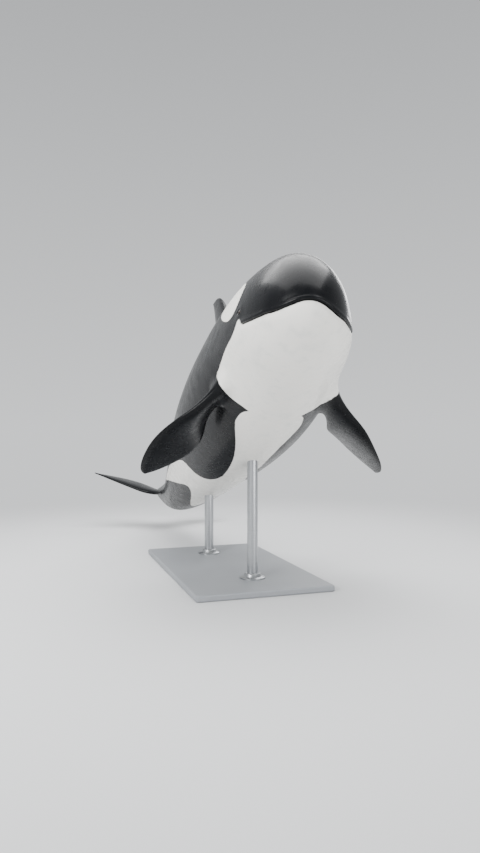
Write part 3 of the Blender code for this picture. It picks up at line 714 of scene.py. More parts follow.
def white_inside(station, angle, rise):
    """How far each point of the body lies inside the white field or an eye patch, in metres."""
    away = abs(from_belly(angle))
    # painted shade: the black is brought lower on the left flank, standing in for the shade that lies
    # there
    shade_as_black = LEFT_SHADE_BLACK * hump(station, *LEFT_SHADE_BLACK_PLACE)
    away += np.where(from_belly(angle) < 0, shade_as_black, 0.0) * (1 - ramp(away, *LEFT_SHADE_BLACK_ENDS))
    edge = flattened(*smooth_line(WHITE_EDGE).T)
    top, last = flattened(MOUTH_CORNER, FIELD_TOP)[1], edge[-1, 0]
    front = ((-OFF_BODY, -OFF_BODY), (-OFF_BODY, top), ((MOUTH_CORNER - LIP_END) * LENGTH, top))
    field = inside_by(flattened(station, away), np.vstack([front, edge, [(last, -OFF_BODY)]]))
    gap, _ = mouth_gap(station, rise)
    behind = station - MOUTH_CORNER
    under_lip = OPEN_ABOVE * ramp(behind, *LIP_RISE) - LIP_BLACK * (1 - ramp(behind, -LIP_END, 0)) - gap
    field = lesser(field, under_lip, LIP_BLEND)
    patch = oval(EYE_PATCH, EYE_PATCH_HALF, EYE_PATCH_TILT)
    return np.maximum(field, inside_by(flattened(station, away, EYE_PATCH[1]), patch))


def saddle_inside(station, angle):
    """How far each point of the body lies inside the saddle, in metres."""
    edge = flattened(*smooth_line(SADDLE_EDGE).T)
    outline = np.vstack([edge[0] - (0, OFF_BODY), edge, edge[-1] - (0, OFF_BODY)])
    return inside_by(flattened(station, 180 - abs(from_belly(angle))), outline)


# ---------------------------------------------------------------------------
# Skin, the mesh and its relief. The grid is made finer where the skin has small features, and
# these are then raised or sunk: lips, lids, blowhole, navel and vent.
# ---------------------------------------------------------------------------
# Ridges and furrows are given by their height, place and width, in metres where no unit is named
LIP_LINE = (-0.012, 0.0, 0.0058)
UPPER_LIP = (0.006, 0.019, 0.014)
LOWER_LIP_TUCK = (-0.005, -0.012, 0.011)
LOWER_LIP = (0.003, -0.045, 0.020)

EYE_STATION = 0.094
EYE_ANGLE = 12.0
EYE_RADIUS = 0.030
EYE_SUNK = 0.024  # the eyeball's centre under the skin
EYE_MOUND = (0.006, 0.0, 0.060)
EYE_OPENING = 0.014  # how deep the skin drops where the eye shows
OPENING_EDGE = (0.86, 1.0)  # in half openings, like the next two
LID_BLEND = (1.05, 2.6)  # where the lid turns into the head's skin
LID_MARGIN = (0.0012, 1.12, 0.10)
LID_HALF_LENGTH, LID_HALF_HEIGHT = 0.0230, 0.0145
LID_NARROWING = 0.35  # share of its height that the opening loses towards its corners
LID_EDGE = 0.0016  # the lids' margin over the eyeball
LID_CORNER_DEPTH = -0.0050
LID_REACH = 0.14  # within which the eye shapes the skin
# Creases over and under the eye: depth, height over its middle, bow and width
LID_CREASES = (
    (0.0024, 0.0245, -6.0, 0.0016),
    (0.0012, 0.0335, -5.0, 0.0018),
    (0.0018, -0.0235, 5.0, 0.0016),
    (0.0009, -0.0310, 4.0, 0.0018),
)
CREASE_HALF_LENGTH, CREASE_FADE = 0.034, 0.012
# Creases behind the eye, which fan out from a point near its corner with these slopes
FAN_SLOPES = (-0.32, 0.04, 0.38)
FAN_CREASE = (-0.0013, 0.0, 0.0013)
FAN_POINT = 0.022
FAN_STARTS, FAN_ENDS = (0.026, 0.032), (0.045, 0.075)

BLOWHOLE_STATION, BLOWHOLE_ANGLE = 0.120, 93.0
BLOWHOLE_MOUND = (0.012, 0.0, 0.12)
BLOWHOLE_PLUG = (0.004, 0.0, 0.026)
BLOWHOLE_RIM = (0.005, 0.060, 0.012)
BLOWHOLE_SLOT = (-0.012, 0.044, 0.0065)
PLUG_FORWARD = 0.018  # the plug's middle before the mound's
BLOWHOLE_HORNS = (68.0, 90.0)  # degrees off the rear where the crescent runs out

NAVEL_STATION, SLIT_STATION, VENT_STATION = 0.462, 0.600, 0.668
NAVEL_PIT, NAVEL_RIM = (-0.009, 0.0, 0.013), (0.004, 0.034, 0.014)
NAVEL_LENGTHENING = 0.7
SLIT_HALF_LENGTH, VENT_HALF_LENGTH = 0.14, 0.03
SLIT_FURROW, SLIT_EDGE = (-0.010, 0.0, 0.0055), (0.005, 0.020, 0.012)
SLIT_END = 0.75  # share of its half length from which a slit runs out

SWELL = 0.0022
SWELL_STARTS = (0.02, 0.12)  # stations over which the head's smooth front turns uneven
RELIEF_ENDS = (0.005, 0.03)  # heights over the body between which its relief fades on a fin
EASING_STARTS, EASING_ENDS = 0.8, 1.6  # places on a fin, in fillets, between which easing fades
EASING_SPREAD, EASING_ROUNDS, EASING_PACE = 8, 80, 0.6
MARKING_ROUNDS = 16
FAR_AWAY = 9.0  # metres, beyond every reach
HEAD_REACH = 0.75  # metres from the snout within which the mouth lies
MOUTH_OVERRUN = 0.002  # stations by which the finer grid runs past the mouth's corner
ON_SKIN = 0.02  # a point nearer to the body's surface than this counts as on it
BODY_DEPTH = 0.25  # a point deeper than this under a skin frame lies on the body's other side


def skin_frame(station, angle):
    """A point of the skin, and unit vectors there: outward, forward, and round the body."""
    spot, _, rearward, round_body = flesh(
        station + np.array([0.0, 0.0, 0.01, 0.0]), angle + np.array([0.0, 0.0, 0.0, 0.1])
    )
    rearward, round_body = rearward - spot, round_body - spot
    outward = np.cross(round_body, rearward)
    outward /= np.linalg.norm(outward)
    forward = -rearward / np.linalg.norm(rearward)
    return spot, outward, forward, np.cross(outward, forward)


def eye_frame(side):
    """The eye's frame; the last vector points up the head on either side."""
    angle = math.radians(EYE_ANGLE if side > 0 else 180 - EYE_ANGLE)
    spot, outward, forward, round_body = skin_frame(EYE_STATION, angle)
    return spot, outward, forward, side * round_body


def local(points, place):
    """Distances outward, forward and round the body from a skin frame; the far side is left out."""
    gap = points - place[0]
    height = gap @ place[1]
    far_side = np.where(height < -BODY_DEPTH, FAR_AWAY, 0.0)
    return height, gap @ place[2] + far_side, gap @ place[3] + far_side


def fold(x, height, place, width):
    """A rounded ridge across x, or a furrow where its height is negative."""
    return height * hump(x, place, width)


def lip_relief(station, rise):
    """A deep line between a full upper lip and a lower lip that closes inside it."""
    gap, open_here = mouth_gap(station, rise)
    folds = (LIP_LINE, UPPER_LIP, LOWER_LIP_TUCK, LOWER_LIP)
    return open_here * sum(fold(gap, *shape) for shape in folds)


def lid_relief(points, side):
    """Lids that follow the eyeball, their rolled margin, creases round them, and the opening."""
    height, x, y = local(points, eye_frame(side))
    far = np.hypot(x, y)
    inside = far < LID_REACH
    x, y, height, far = x[inside], y[inside], height[inside], far[inside]
    half_height = LID_HALF_HEIGHT * (1 - LID_NARROWING * np.clip(x / LID_HALF_LENGTH, -1, 1) ** 2)
    openings = np.hypot(x / LID_HALF_LENGTH, y / half_height)
    ball = np.sqrt(np.maximum(EYE_RADIUS**2 - far**2, 0)) - EYE_SUNK
    lid = np.maximum(ball, LID_CORNER_DEPTH) + LID_EDGE
    blend = ramp(openings, *LID_BLEND)
    lifted = (lid - height) * (1 - blend) + fold(far, *EYE_MOUND) * blend
    lifted += fold(openings, *LID_MARGIN)
    across = np.clip(1 - (x / CREASE_HALF_LENGTH) ** 2, 0, 1)
    for depth, level, bow, width in LID_CREASES:
        crease = fold(y, -depth, level + bow * x**2, width)
        lifted += crease * ramp(y * np.sign(level), 0.0, CREASE_FADE) * across
    behind = ramp(-x, *FAN_STARTS) * (1 - ramp(-x, *FAN_ENDS))
    for slope in FAN_SLOPES:
        lifted += fold(y + (x + FAN_POINT) * slope, *FAN_CREASE) * behind
    lifted -= EYE_OPENING * (1 - ramp(openings, *OPENING_EDGE))
    relief = np.zeros(len(points))
    relief[inside] = lifted
    return relief


def blowhole_relief(points):
    """A crescent that opens forward, its plug, and the low mound that it lies on."""
    _, x, y = local(points, skin_frame(BLOWHOLE_STATION, math.radians(BLOWHOLE_ANGLE)))
    radius = np.hypot(x - PLUG_FORWARD, y)
    off_rear = np.degrees(abs(np.arctan2(y, PLUG_FORWARD - x)))
    relief = fold(np.hypot(x, y), *BLOWHOLE_MOUND) + fold(radius, *BLOWHOLE_PLUG)
    crescent = fold(radius, *BLOWHOLE_RIM) + fold(radius, *BLOWHOLE_SLOT)
    return relief + crescent * (1 - ramp(off_rear, *BLOWHOLE_HORNS))


def belly_relief(points):
    """The navel, the long genital slit with its soft edges, and the vent."""
    down = -math.pi / 2
    _, x, y = local(points, skin_frame(NAVEL_STATION, down))
    far = np.hypot(x * NAVEL_LENGTHENING, y)
    relief = fold(far, *NAVEL_PIT) + fold(far, *NAVEL_RIM)
    for station, half_length in ((SLIT_STATION, SLIT_HALF_LENGTH), (VENT_STATION, VENT_HALF_LENGTH)):
        _, x, y = local(points, skin_frame(station, down))
        ends = 1 - ramp(abs(x), half_length * SLIT_END, half_length)
        relief += ends * (fold(abs(y), *SLIT_EDGE) + fold(y, *SLIT_FURROW))
    return relief


def soft_relief(station, angle):
    """The slow unevenness of muscle and blubber, a few millimetres high."""
    x = station * LENGTH
    relief = np.sin(3.1 * x + 2 * np.sin(angle)) * np.sin(2 * angle + 0.9 * x)
    relief += 0.6 * np.sin(5.3 * x - 3 * angle) * np.cos(3 * angle - 1.7 * x)
    return SWELL * relief * ramp(station, *SWELL_STARTS)


def refine(form, features):
    """Halves the faces near each feature, once for each of the reaches it is given."""
    for level in range(max(len(reaches) for _, reaches in features)):
        points = np.array([v.co for v in form.verts])
        near = np.zeros(len(points), bool)
        for distance, reaches in features:
            if level < len(reaches):
                near |= distance(points) < reaches[level]
        faces = [f for f in form.faces if len(f.verts) < 5 and all(near[v.index] for v in f.verts)]
        edges = list({e for f in faces for e in f.edges})
        bmesh.ops.subdivide_edges(form, edges=edges, cuts=1, use_grid_fill=True)
        form.verts.index_update()


def from_mouth(points):
    """How far each point is from the mouth line, and from its corner behind that."""
    close = np.full(len(points), FAR_AWAY)
    head = np.linalg.norm(points - np.array(SNOUT), axis=1) < HEAD_REACH
    station, _, rise, _ = unroll(points[head])
    gap, _ = mouth_gap(station, rise)
    close[head] = abs(gap) + FAR_AWAY * np.maximum(station - MOUTH_CORNER - MOUTH_OVERRUN, 0)
    return close


def from_colour_edge(points):
    """How far each point of the body is from the edge of its white; fins are left out."""
    station, angle, rise, over = unroll(points)
    return abs(white_inside(station, angle, rise)) + np.maximum(abs(over) - ON_SKIN, 0)


def from_spot(station, degrees, stretch=1.0):
    """A measure of the distance from a place on the skin, stretched along the body."""
    place = skin_frame(station, math.radians(degrees))

    def distance(points):
        height, x, y = local(points, place)
        return np.sqrt((x / stretch) ** 2 + y**2 + height**2)

    return distance


surface = whole_animal()
skin_mesh = bpy.data.meshes.new("orca_skin")
skin_mesh.from_pydata([tuple(p) for p in surface.points], [], surface.faces)
NOTES = ("fin", "along_fin", "chord_share")
for k, note in enumerate(NOTES):
    layer = skin_mesh.attributes.new(note, "FLOAT", "POINT")
    layer.data.foreach_set("value", np.array(surface.notes, np.float32)[:, k].copy())

form = bmesh.new()
form.from_mesh(skin_mesh)
under_fins = [v for v in form.verts if not v.link_faces]
bmesh.ops.delete(form, geom=under_fins, context="VERTS")
# Each feature, with the distances within which the grid is halved once, twice and so on
features = (
    (from_mouth, (0.036, 0.021, 0.0105)),
    (from_spot(EYE_STATION, EYE_ANGLE), (0.13, 0.088, 0.062, 0.045)),
    (from_spot(EYE_STATION, 180 - EYE_ANGLE), (0.13, 0.088, 0.062, 0.045)),
    (from_spot(BLOWHOLE_STATION, BLOWHOLE_ANGLE), (0.13, 0.09, 0.065)),
    (from_spot(NAVEL_STATION, -90), (0.12, 0.08, 0.050)),
    (from_spot(SLIT_STATION, -90, 4.0), (0.09, 0.05, 0.035)),
    (from_spot(VENT_STATION, -90), (0.10, 0.065, 0.040)),
    (from_colour_edge, (0.027,)),
)
refine(form, features)
form.to_mesh(skin_mesh)
form.free()

count = len(skin_mesh.vertices)
points = np.empty(count * 3)
skin_mesh.vertices.foreach_get("co", points)
points = points.reshape(-1, 3)
notes = {}
for note in NOTES:
    notes[note] = np.empty(count, np.float32)
    skin_mesh.attributes[note].data.foreach_get("value", notes[note])
on_body = notes["fin"] < -0.5
station, angle, rise, over = unroll(points)
points[on_body] = flesh(station[on_body], angle[on_body])

# The fins' roots are eased into the body by drawing each point towards its neighbours
ends = np.empty(2 * len(skin_mesh.edges), int)
skin_mesh.edges.foreach_get("vertices", ends)
ends = ends.reshape(-1, 2)
neighbours = np.bincount(ends.ravel(), minlength=count)


def neighbour_mean(values):
    """The mean of each point's neighbours along the mesh's edges."""
    near = [np.bincount(ends[:, 0], v[ends[:, 1]], count) for v in values.T]
    far = [np.bincount(ends[:, 1], v[ends[:, 0]], count) for v in values.T]
    return (np.array(near) + np.array(far)).T / neighbours[:, None]


fin_number = np.round(notes["fin"]).astype(int)
fillet_ends = np.array([fillet_end for _, _, fillet_end in FINS.values()])
rooted = 1 - ramp(notes["along_fin"] / fillet_ends[fin_number], EASING_STARTS, EASING_ENDS)
rooted = np.where(on_body, 0.0, rooted)[:, None]
for _ in range(EASING_SPREAD):
    rooted = np.maximum(rooted, neighbour_mean(rooted))
for _ in range(EASING_ROUNDS):
    points += EASING_PACE * rooted * (neighbour_mean(points) - points)

rise[on_body], over[on_body] = unroll(points[on_body])[2:]
skin_mesh.vertices.foreach_set("co", points.ravel())
skin_mesh.update()
normals = np.empty(count * 3, np.float32)
skin_mesh.vertex_normals.foreach_get("vector", normals)
normals = normals.reshape(-1, 3)
relief = lip_relief(station, rise) + soft_relief(station, angle)
relief += blowhole_relief(points) + belly_relief(points)
relief *= on_body * (1 - ramp(over, *RELIEF_ENDS))
for side in (1, -1):
    lids = lid_relief(points, side)
    points += eye_frame(side)[1] * lids[:, None]
points += normals * relief[:, None]
skin_mesh.vertices.foreach_set("co", points.ravel())
skin_mesh.shade_smooth()
skin = bpy.data.objects.new("orca_skin", skin_mesh)
bpy.context.scene.collection.objects.link(skin)

# ---------------------------------------------------------------------------
# Skin, the markings. Each point of the skin holds its distance inside the white and inside the
# saddle, and its place on the unrolled body.
# ---------------------------------------------------------------------------
white = white_inside(station, angle, rise)
saddle = saddle_inside(station, angle)

# The dorsal fin and the flippers are black; a fluke is white below, inside a dark margin
fin, along_fin, chord_share = (notes[note] for note in NOTES)
for number, name in enumerate(FINS):
    here = abs(fin - number) < 0.5
    if "fluke" in name:
        lead, trail, _ = fluke_plan(np.clip(along_fin[here], 0.01, TIP))
        chord = (trail - lead)[:, 0]
        rim = np.minimum(chord_share[here], 1 - chord_share[here]) * chord
        rim = np.minimum(rim, (1 - along_fin[here]) * FLUKE_SPAN * FLUKE_TIP_BLACK)
        rim = lesser(rim, (along_fin[here] - FLUKE_ROOT_BLACK) * FLUKE_SPAN, FLUKE_ROUNDING)
        below = normals[here] @ spine(FLUKE_MIDDLE)[2] < 0
        white[here] = np.where(below, rim, -rim) - FLUKE_MARGIN
    else:
        reach = ROOT_WHITE if "flipper" in name else DORSAL_WHITE
        white[here] = lesser(white[here], reach - over[here], FIN_ROUNDING)
        saddle[here] = np.minimum(saddle[here], SADDLE_ON_FIN - over[here])
for _ in range(MARKING_ROUNDS):
    white += rooted[:, 0] * (neighbour_mean(white[:, None])[:, 0] - white)

places = flattened(station, from_belly(angle))
for name, values in (("white_field", white), ("saddle_field", saddle)):
    layer = skin_mesh.attributes.new(name, "FLOAT", "POINT")
    layer.data.foreach_set("value", values.astype(np.float32))
layer = skin_mesh.attributes.new("unrolled", "FLOAT_VECTOR", "POINT")
unrolled = np.column_stack([places, over]).astype(np.float32)
layer.data.foreach_set("vector", unrolled.ravel())
for note in NOTES:
    skin_mesh.attributes.remove(skin_mesh.attributes[note])


# ---------------------------------------------------------------------------
# Skin, the material. Smooth hairless skin, wet and close to rubber in gloss, which gives broad
# soft highlights. It is black or white by its pigment, with faint mottling, pale tooth scars and
# a soft edge between the colours.
# ---------------------------------------------------------------------------
def linear(colour):
    """An sRGB hex colour as linear red, green, blue and alpha."""
    parts = [int(colour[k : k + 2], 16) / 255 for k in (1, 3, 5)]
    parts = [p / 12.92 if p <= 0.04045 else ((p + 0.055) / 1.055) ** 2.4 for p in parts]
    return (*parts, 1.0)


def add_node(material, kind, inputs=(), **settings):
    """Adds one node: settings are its properties, and inputs its sockets' values or links."""
    tree = material.node_tree
    made = tree.nodes.new("ShaderNode" + kind)
    for name, value in settings.items():
        setattr(made, name, value)
    for key, value in dict(inputs).items():
        if isinstance(value, bpy.types.NodeSocket):
            tree.links.new(value, made.inputs[key])
        else:
            made.inputs[key].default_value = value
    return made


def new_material(name):
    """A material and its shader."""
    made = bpy.data.materials.new(name)
    made.use_nodes = True
    return made, made.node_tree.nodes["Principled BSDF"]


BLACK_SKIN, BLACK_SKIN_WORN = "#08090a", "#111215"
WHITE_SKIN, WHITE_SKIN_DULL = "#f0eee8", "#dfdfda"
SADDLE_GREY = "#595c5f"
SCAR_GREY = "#70767b"
EDGE_SOFTNESS, EDGE_FRAY = 0.004, 0.0015  # half widths of the blur between black and white
SADDLE_SOFTNESS, SADDLE_WISPS = 0.070, 0.022
SCAR_STRENGTH = 0.45
SCAR_BOW = 0.6
SCAR_HALF_WIDTH = 0.0045
# Millimetres across a patch of each pattern. The pores are drawn coarser than real ones, which
# are too fine to show. The saddle's wisps are drawn out along the body.
MOTTLE_MM, GRIME_MM, FRAY_MM, PORE_MM = 385.0, 91.0, 71.5, 5.88
WISP_MM = (111.0, 333.0, 111.0)
NOISE_RANGE = {"From Min": 0.3, "From Max": 0.7}  # where most values of a noise pattern lie

wet_skin, shader = new_material("wet orca skin")
position = add_node(wet_skin, "TexCoord").outputs["Object"]
mottle = add_node(wet_skin, "TexNoise", {"Vector": position, "Scale": 1000 / MOTTLE_MM, "Detail": 6.0})
grime = add_node(wet_skin, "TexNoise", {"Vector": position, "Scale": 1000 / GRIME_MM, "Detail": 5.0})
fray = add_node(wet_skin, "TexNoise", {"Vector": position, "Scale": 1000 / FRAY_MM, "Detail": 2.0})
pores = add_node(wet_skin, "TexNoise", {"Vector": position, "Scale": 1000 / PORE_MM, "Detail": 3.0})

frayed = add_node(
    wet_skin,
    "MapRange",
    {"Value": fray.outputs["Fac"], **NOISE_RANGE, "To Min": -EDGE_FRAY, "To Max": EDGE_FRAY},
)
white_field = add_node(wet_skin, "Attribute", attribute_name="white_field").outputs["Fac"]
white_place = add_node(wet_skin, "Math", {0: white_field, 1: frayed.outputs[0]}, operation="ADD")
white_mask = add_node(
    wet_skin,
    "MapRange",
    {"Value": white_place.outputs[0], "From Min": -EDGE_SOFTNESS, "From Max": EDGE_SOFTNESS},
    interpolation_type="SMOOTHSTEP",
).outputs[0]
saddle_field = add_node(wet_skin, "Attribute", attribute_name="saddle_field").outputs["Fac"]
swept = add_node(wet_skin, "Mapping", {"Vector": position, "Scale": [1000 / mm for mm in WISP_MM]})
streaks = add_node(wet_skin, "TexNoise", {"Vector": swept.outputs[0], "Scale": 1.0, "Detail": 3.0})
wisps = add_node(
    wet_skin,
    "MapRange",
    {"Value": streaks.outputs["Fac"], **NOISE_RANGE, "To Min": -SADDLE_WISPS, "To Max": SADDLE_WISPS},
)
saddle_place = add_node(wet_skin, "Math", {0: saddle_field, 1: wisps.outputs[0]}, operation="ADD")
saddle_mask = add_node(
    wet_skin,
    "MapRange",
    {"Value": saddle_place.outputs[0], "From Min": -SADDLE_SOFTNESS, "From Max": SADDLE_SOFTNESS},
    interpolation_type="SMOOTHSTEP",
).outputs[0]

# Scars of other orcas' teeth, in sets of parallel lines: place along and round the body in
# metres, heading in degrees, length, distance between lines and how many there are
RAKE_MARKS = (
    (0.110, 1.020, 68.0, 0.20, 0.035, 1),
    (0.120, -0.930, -66.0, 0.24, 0.035, 1),
    (1.500, 1.000, -15.0, 0.30, 0.030, 2),
    (2.300, -1.250, 25.0, 0.42, 0.028, 4),
    (3.950, 1.350, -30.0, 0.38, 0.026, 4),
    (4.450, -0.900, 18.0, 0.30, 0.024, 3),
)
unrolled_place = add_node(wet_skin, "Attribute", attribute_name="unrolled").outputs["Vector"]
scars = 0.0
for along, round_body, heading, length, spacing, lines in RAKE_MARKS:
    moved = add_node(
        wet_skin,
        "Mapping",
        {
            "Vector": unrolled_place,
            "Location": (along, round_body, 0),
            "Rotation": (0, 0, math.radians(heading)),
        },
        vector_type="TEXTURE",
    )
    parts = add_node(wet_skin, "SeparateXYZ", {0: moved.outputs[0]})
    bow = add_node(wet_skin, "Math", {0: parts.outputs["X"], 1: 2.0}, operation="POWER")
    bowed = add_node(
        wet_skin,
        "Math",
        {0: bow.outputs[0], 1: SCAR_BOW, 2: parts.outputs["Y"]},
        operation="MULTIPLY_ADD",
    )
    near_line = add_node(wet_skin, "Math", {0: bowed.outputs[0], 1: spacing}, operation="PINGPONG")
    thin = add_node(
        wet_skin,
        "MapRange",
        {"Value": near_line.outputs[0], "From Min": SCAR_HALF_WIDTH, "From Max": SCAR_HALF_WIDTH / 3},
        interpolation_type="SMOOTHSTEP",
    )
    breadth = add_node(wet_skin, "Math", {0: bowed.outputs[0]}, operation="ABSOLUTE")
    in_set = add_node(
        wet_skin,
        "MapRange",
        {"Value": breadth.outputs[0], "From Min": spacing * lines, "From Max": spacing * (lines - 0.5)},
    )
    reach = add_node(wet_skin, "Math", {0: parts.outputs["X"]}, operation="ABSOLUTE")
    in_length = add_node(
        wet_skin,
        "MapRange",
        {"Value": reach.outputs[0], "From Min": length / 2, "From Max": length / 4},
        interpolation_type="SMOOTHSTEP",
    )
    within = add_node(
        wet_skin, "Math", {0: in_set.outputs[0], 1: in_length.outputs[0]}, operation="MULTIPLY"
    )
    mark = add_node(wet_skin, "Math", {0: within.outputs[0], 1: thin.outputs[0]}, operation="MULTIPLY")
    scars = add_node(wet_skin, "Math", {0: scars, 1: mark.outputs[0]}, operation="MAXIMUM").outputs[0]

black = add_node(
    wet_skin,
    "Mix",
    {"Factor": mottle.outputs["Fac"], 6: linear(BLACK_SKIN), 7: linear(BLACK_SKIN_WORN)},
    data_type="RGBA",
).outputs[2]
dulled = add_node(
    wet_skin, "MapRange", {"Value": grime.outputs["Fac"], "From Min": 0.45, "From Max": 0.8}
).outputs[0]
pale = add_node(
    wet_skin,
    "Mix",
    {"Factor": dulled, 6: linear(WHITE_SKIN), 7: linear(WHITE_SKIN_DULL)},
    data_type="RGBA",
).outputs[2]
saddled = add_node(
    wet_skin, "Mix", {"Factor": saddle_mask, 6: black, 7: linear(SADDLE_GREY)}, data_type="RGBA"
).outputs[2]
faint = add_node(wet_skin, "Math", {0: scars, 1: SCAR_STRENGTH}, operation="MULTIPLY").outputs[0]
scarred = add_node(
    wet_skin, "Mix", {"Factor": faint, 6: saddled, 7: linear(SCAR_GREY)}, data_type="RGBA"
).outputs[2]
colour = add_node(
    wet_skin, "Mix", {"Factor": white_mask, 6: scarred, 7: pale}, data_type="RGBA"
).outputs[2]
roughness = add_node(
    wet_skin,
    "MapRange",
    {"Value": grime.outputs["Fac"], "From Min": 0.3, "From Max": 0.75, "To Min": 0.22, "To Max": 0.36},
).outputs[0]
ripples = add_node(
    wet_skin, "Bump", {"Height": grime.outputs["Fac"], "Strength": 0.10, "Distance": 0.01}
)
fine = add_node(
    wet_skin,
    "Bump",
    {"Height": pores.outputs["Fac"], "Strength": 0.12, "Distance": 0.0015, "Normal": ripples.outputs[0]},
)
links = wet_skin.node_tree.links
links.new(colour, shader.inputs["Base Color"])
links.new(roughness, shader.inputs["Roughness"])
links.new(fine.outputs[0], shader.inputs["Normal"])
shader.inputs["IOR"].default_value = 1.36
shader.inputs["Specular IOR Level"].default_value = 0.18
shader.inputs["Coat Weight"].default_value = 0.05
shader.inputs["Coat Roughness"].default_value = 0.08
skin_mesh.materials.append(wet_skin)

FLESH_NODES = [name for name in nodes if not name.startswith(("stand_", "eye_"))]
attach(skin, "root")
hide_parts(*FLESH_NODES)

# ---------------------------------------------------------------------------
# Eyes. Each is a ball sunk in the head, with a dark brown iris, a wide pupil and a bulging
# cornea, and it shows between the lids. The wet surface gives it a sharp glint.
# ---------------------------------------------------------------------------
IRIS_RADIUS = 0.0165
PUPIL_HALF = (0.0085, 0.0058)
CORNEA_RISE = 0.0012
CORNEA_EDGE = (0.004, 0.015)  # distances from the eye's axis between which the bulge runs out
FIBRE_MM = 1.11  # across a bundle of the iris's fibres
IRIS_BROWN, IRIS_RIM, PUPIL_BLACK, EYE_WHITE = "#3b291d", "#1a110c", "#030303", "#4a3a31"

eye_material, shader = new_material("wet eye")
optic = add_node(eye_material, "Attribute", attribute_name="optic")
split = add_node(eye_material, "SeparateXYZ", {0: optic.outputs["Vector"]})
from_axis = add_node(eye_material, "VectorMath", {0: optic.outputs["Vector"]}, operation="LENGTH")
wide = add_node(eye_material, "Math", {0: split.outputs["X"], 1: PUPIL_HALF[0]}, operation="DIVIDE")
tall = add_node(eye_material, "Math", {0: split.outputs["Y"], 1: PUPIL_HALF[1]}, operation="DIVIDE")
in_pupils = add_node(eye_material, "CombineXYZ", {0: wide.outputs[0], 1: tall.outputs[0]})
pupil = add_node(eye_material, "VectorMath", {0: in_pupils.outputs[0]}, operation="LENGTH")
pupil_mask = add_node(
    eye_material, "MapRange", {"Value": pupil.outputs["Value"], "From Min": 1.08, "From Max": 0.95}
).outputs[0]
rim_mask = add_node(
    eye_material,
    "MapRange",
    {"Value": from_axis.outputs["Value"], "From Min": IRIS_RADIUS * 0.55, "From Max": IRIS_RADIUS},
).outputs[0]
sclera_mask = add_node(
    eye_material,
    "MapRange",
    {"Value": from_axis.outputs["Value"], "From Min": IRIS_RADIUS, "From Max": IRIS_RADIUS * 1.08},
).outputs[0]
fibres = add_node(
    eye_material,
    "TexNoise",
    {"Vector": optic.outputs["Vector"], "Scale": 1000 / FIBRE_MM, "Detail": 4.0},
)
brown = add_node(
    eye_material,
    "Mix",
    {"Factor": fibres.outputs["Fac"], 6: linear(IRIS_RIM), 7: linear(IRIS_BROWN)},
    data_type="RGBA",
).outputs[2]
rimmed = add_node(
    eye_material, "Mix", {"Factor": rim_mask, 6: brown, 7: linear(IRIS_RIM)}, data_type="RGBA"
).outputs[2]
around = add_node(
    eye_material, "Mix", {"Factor": sclera_mask, 6: rimmed, 7: linear(EYE_WHITE)}, data_type="RGBA"
).outputs[2]
eye_colour = add_node(
    eye_material, "Mix", {"Factor": pupil_mask, 6: around, 7: linear(PUPIL_BLACK)}, data_type="RGBA"
).outputs[2]
eye_material.node_tree.links.new(eye_colour, shader.inputs["Base Color"])
shader.inputs["Roughness"].default_value = 0.10
shader.inputs["IOR"].default_value = 1.38
shader.inputs["Coat Weight"].default_value = 0.3
shader.inputs["Coat Roughness"].default_value = 0.02

for side, word in ((1, "right"), (-1, "left")):
    spot, outward, ahead, upward = eye_frame(side)
    centre = spot - EYE_SUNK * outward
    form = bmesh.new()
    bmesh.ops.create_uvsphere(form, u_segments=96, v_segments=64, radius=EYE_RADIUS)
    eye_mesh = bpy.data.meshes.new(f"eyeball_{word}")
    form.to_mesh(eye_mesh)
    form.free()
    ball = np.array([v.co for v in eye_mesh.vertices])
    off_axis = np.hypot(ball[:, 0], ball[:, 1])
    ball[:, 2] += np.where(ball[:, 2] > 0, CORNEA_RISE * (1 - ramp(off_axis, *CORNEA_EDGE)), 0)
    layer = eye_mesh.attributes.new("optic", "FLOAT_VECTOR", "POINT")
    flat = np.where(ball[:, 2:] > 0, ball * (1, 1, 0), 1.0)
    layer.data.foreach_set("vector", flat.astype(np.float32).ravel())
    placed = centre + ball[:, :1] * ahead + ball[:, 1:2] * upward + ball[:, 2:] * outward
    eye_mesh.vertices.foreach_set("co", placed.ravel())
    if side < 0:  # the left eye's axes are mirrored, which turns its faces inside out
        eye_mesh.flip_normals()
    eye_mesh.shade_smooth()
    eye_mesh.materials.append(eye_material)
    eyeball = bpy.data.objects.new(f"eyeball_{word}", eye_mesh)
    bpy.context.scene.collection.objects.link(eyeball)
    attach(eyeball, "root")
    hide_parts(f"eye_{word}")

# ---------------------------------------------------------------------------
# Stand base. A bevelled steel plate, powder coated grey: an even satin with the fine orange
# peel that the baked powder leaves.
# ---------------------------------------------------------------------------
POWDER_GREY, POWDER_DARK = "#8f9296", "#85888c"
CLOUD_MM = 667.0  # across a patch of the coat's slow unevenness
PEEL_MM = 2.4  # across a dimple of the orange peel
powder_coat, shader = new_material("powder coated steel")
position = add_node(powder_coat, "TexCoord").outputs["Object"]
cloud = add_node(powder_coat, "TexNoise", {"Vector": position, "Scale": 1000 / CLOUD_MM, "Detail": 3.0})
peel = add_node(powder_coat, "TexNoise", {"Vector": position, "Scale": 1000 / PEEL_MM, "Detail": 2.0})
coat_colour = add_node(
    powder_coat,
    "Mix",
    {"Factor": cloud.outputs["Fac"], 6: linear(POWDER_GREY), 7: linear(POWDER_DARK)},
    data_type="RGBA",
).outputs[2]
coat_gloss = add_node(
    powder_coat, "MapRange", {"Value": cloud.outputs["Fac"], "To Min": 0.42, "To Max": 0.52}
).outputs[0]
peeled = add_node(
    powder_coat, "Bump", {"Height": peel.outputs["Fac"], "Strength": 0.2, "Distance": 0.0006}
)
links = powder_coat.node_tree.links
links.new(coat_colour, shader.inputs["Base Color"])
links.new(coat_gloss, shader.inputs["Roughness"])
links.new(peeled.outputs[0], shader.inputs["Normal"])
base = nodes["stand_base"]
base.data.materials.clear()
base.data.materials.append(powder_coat)

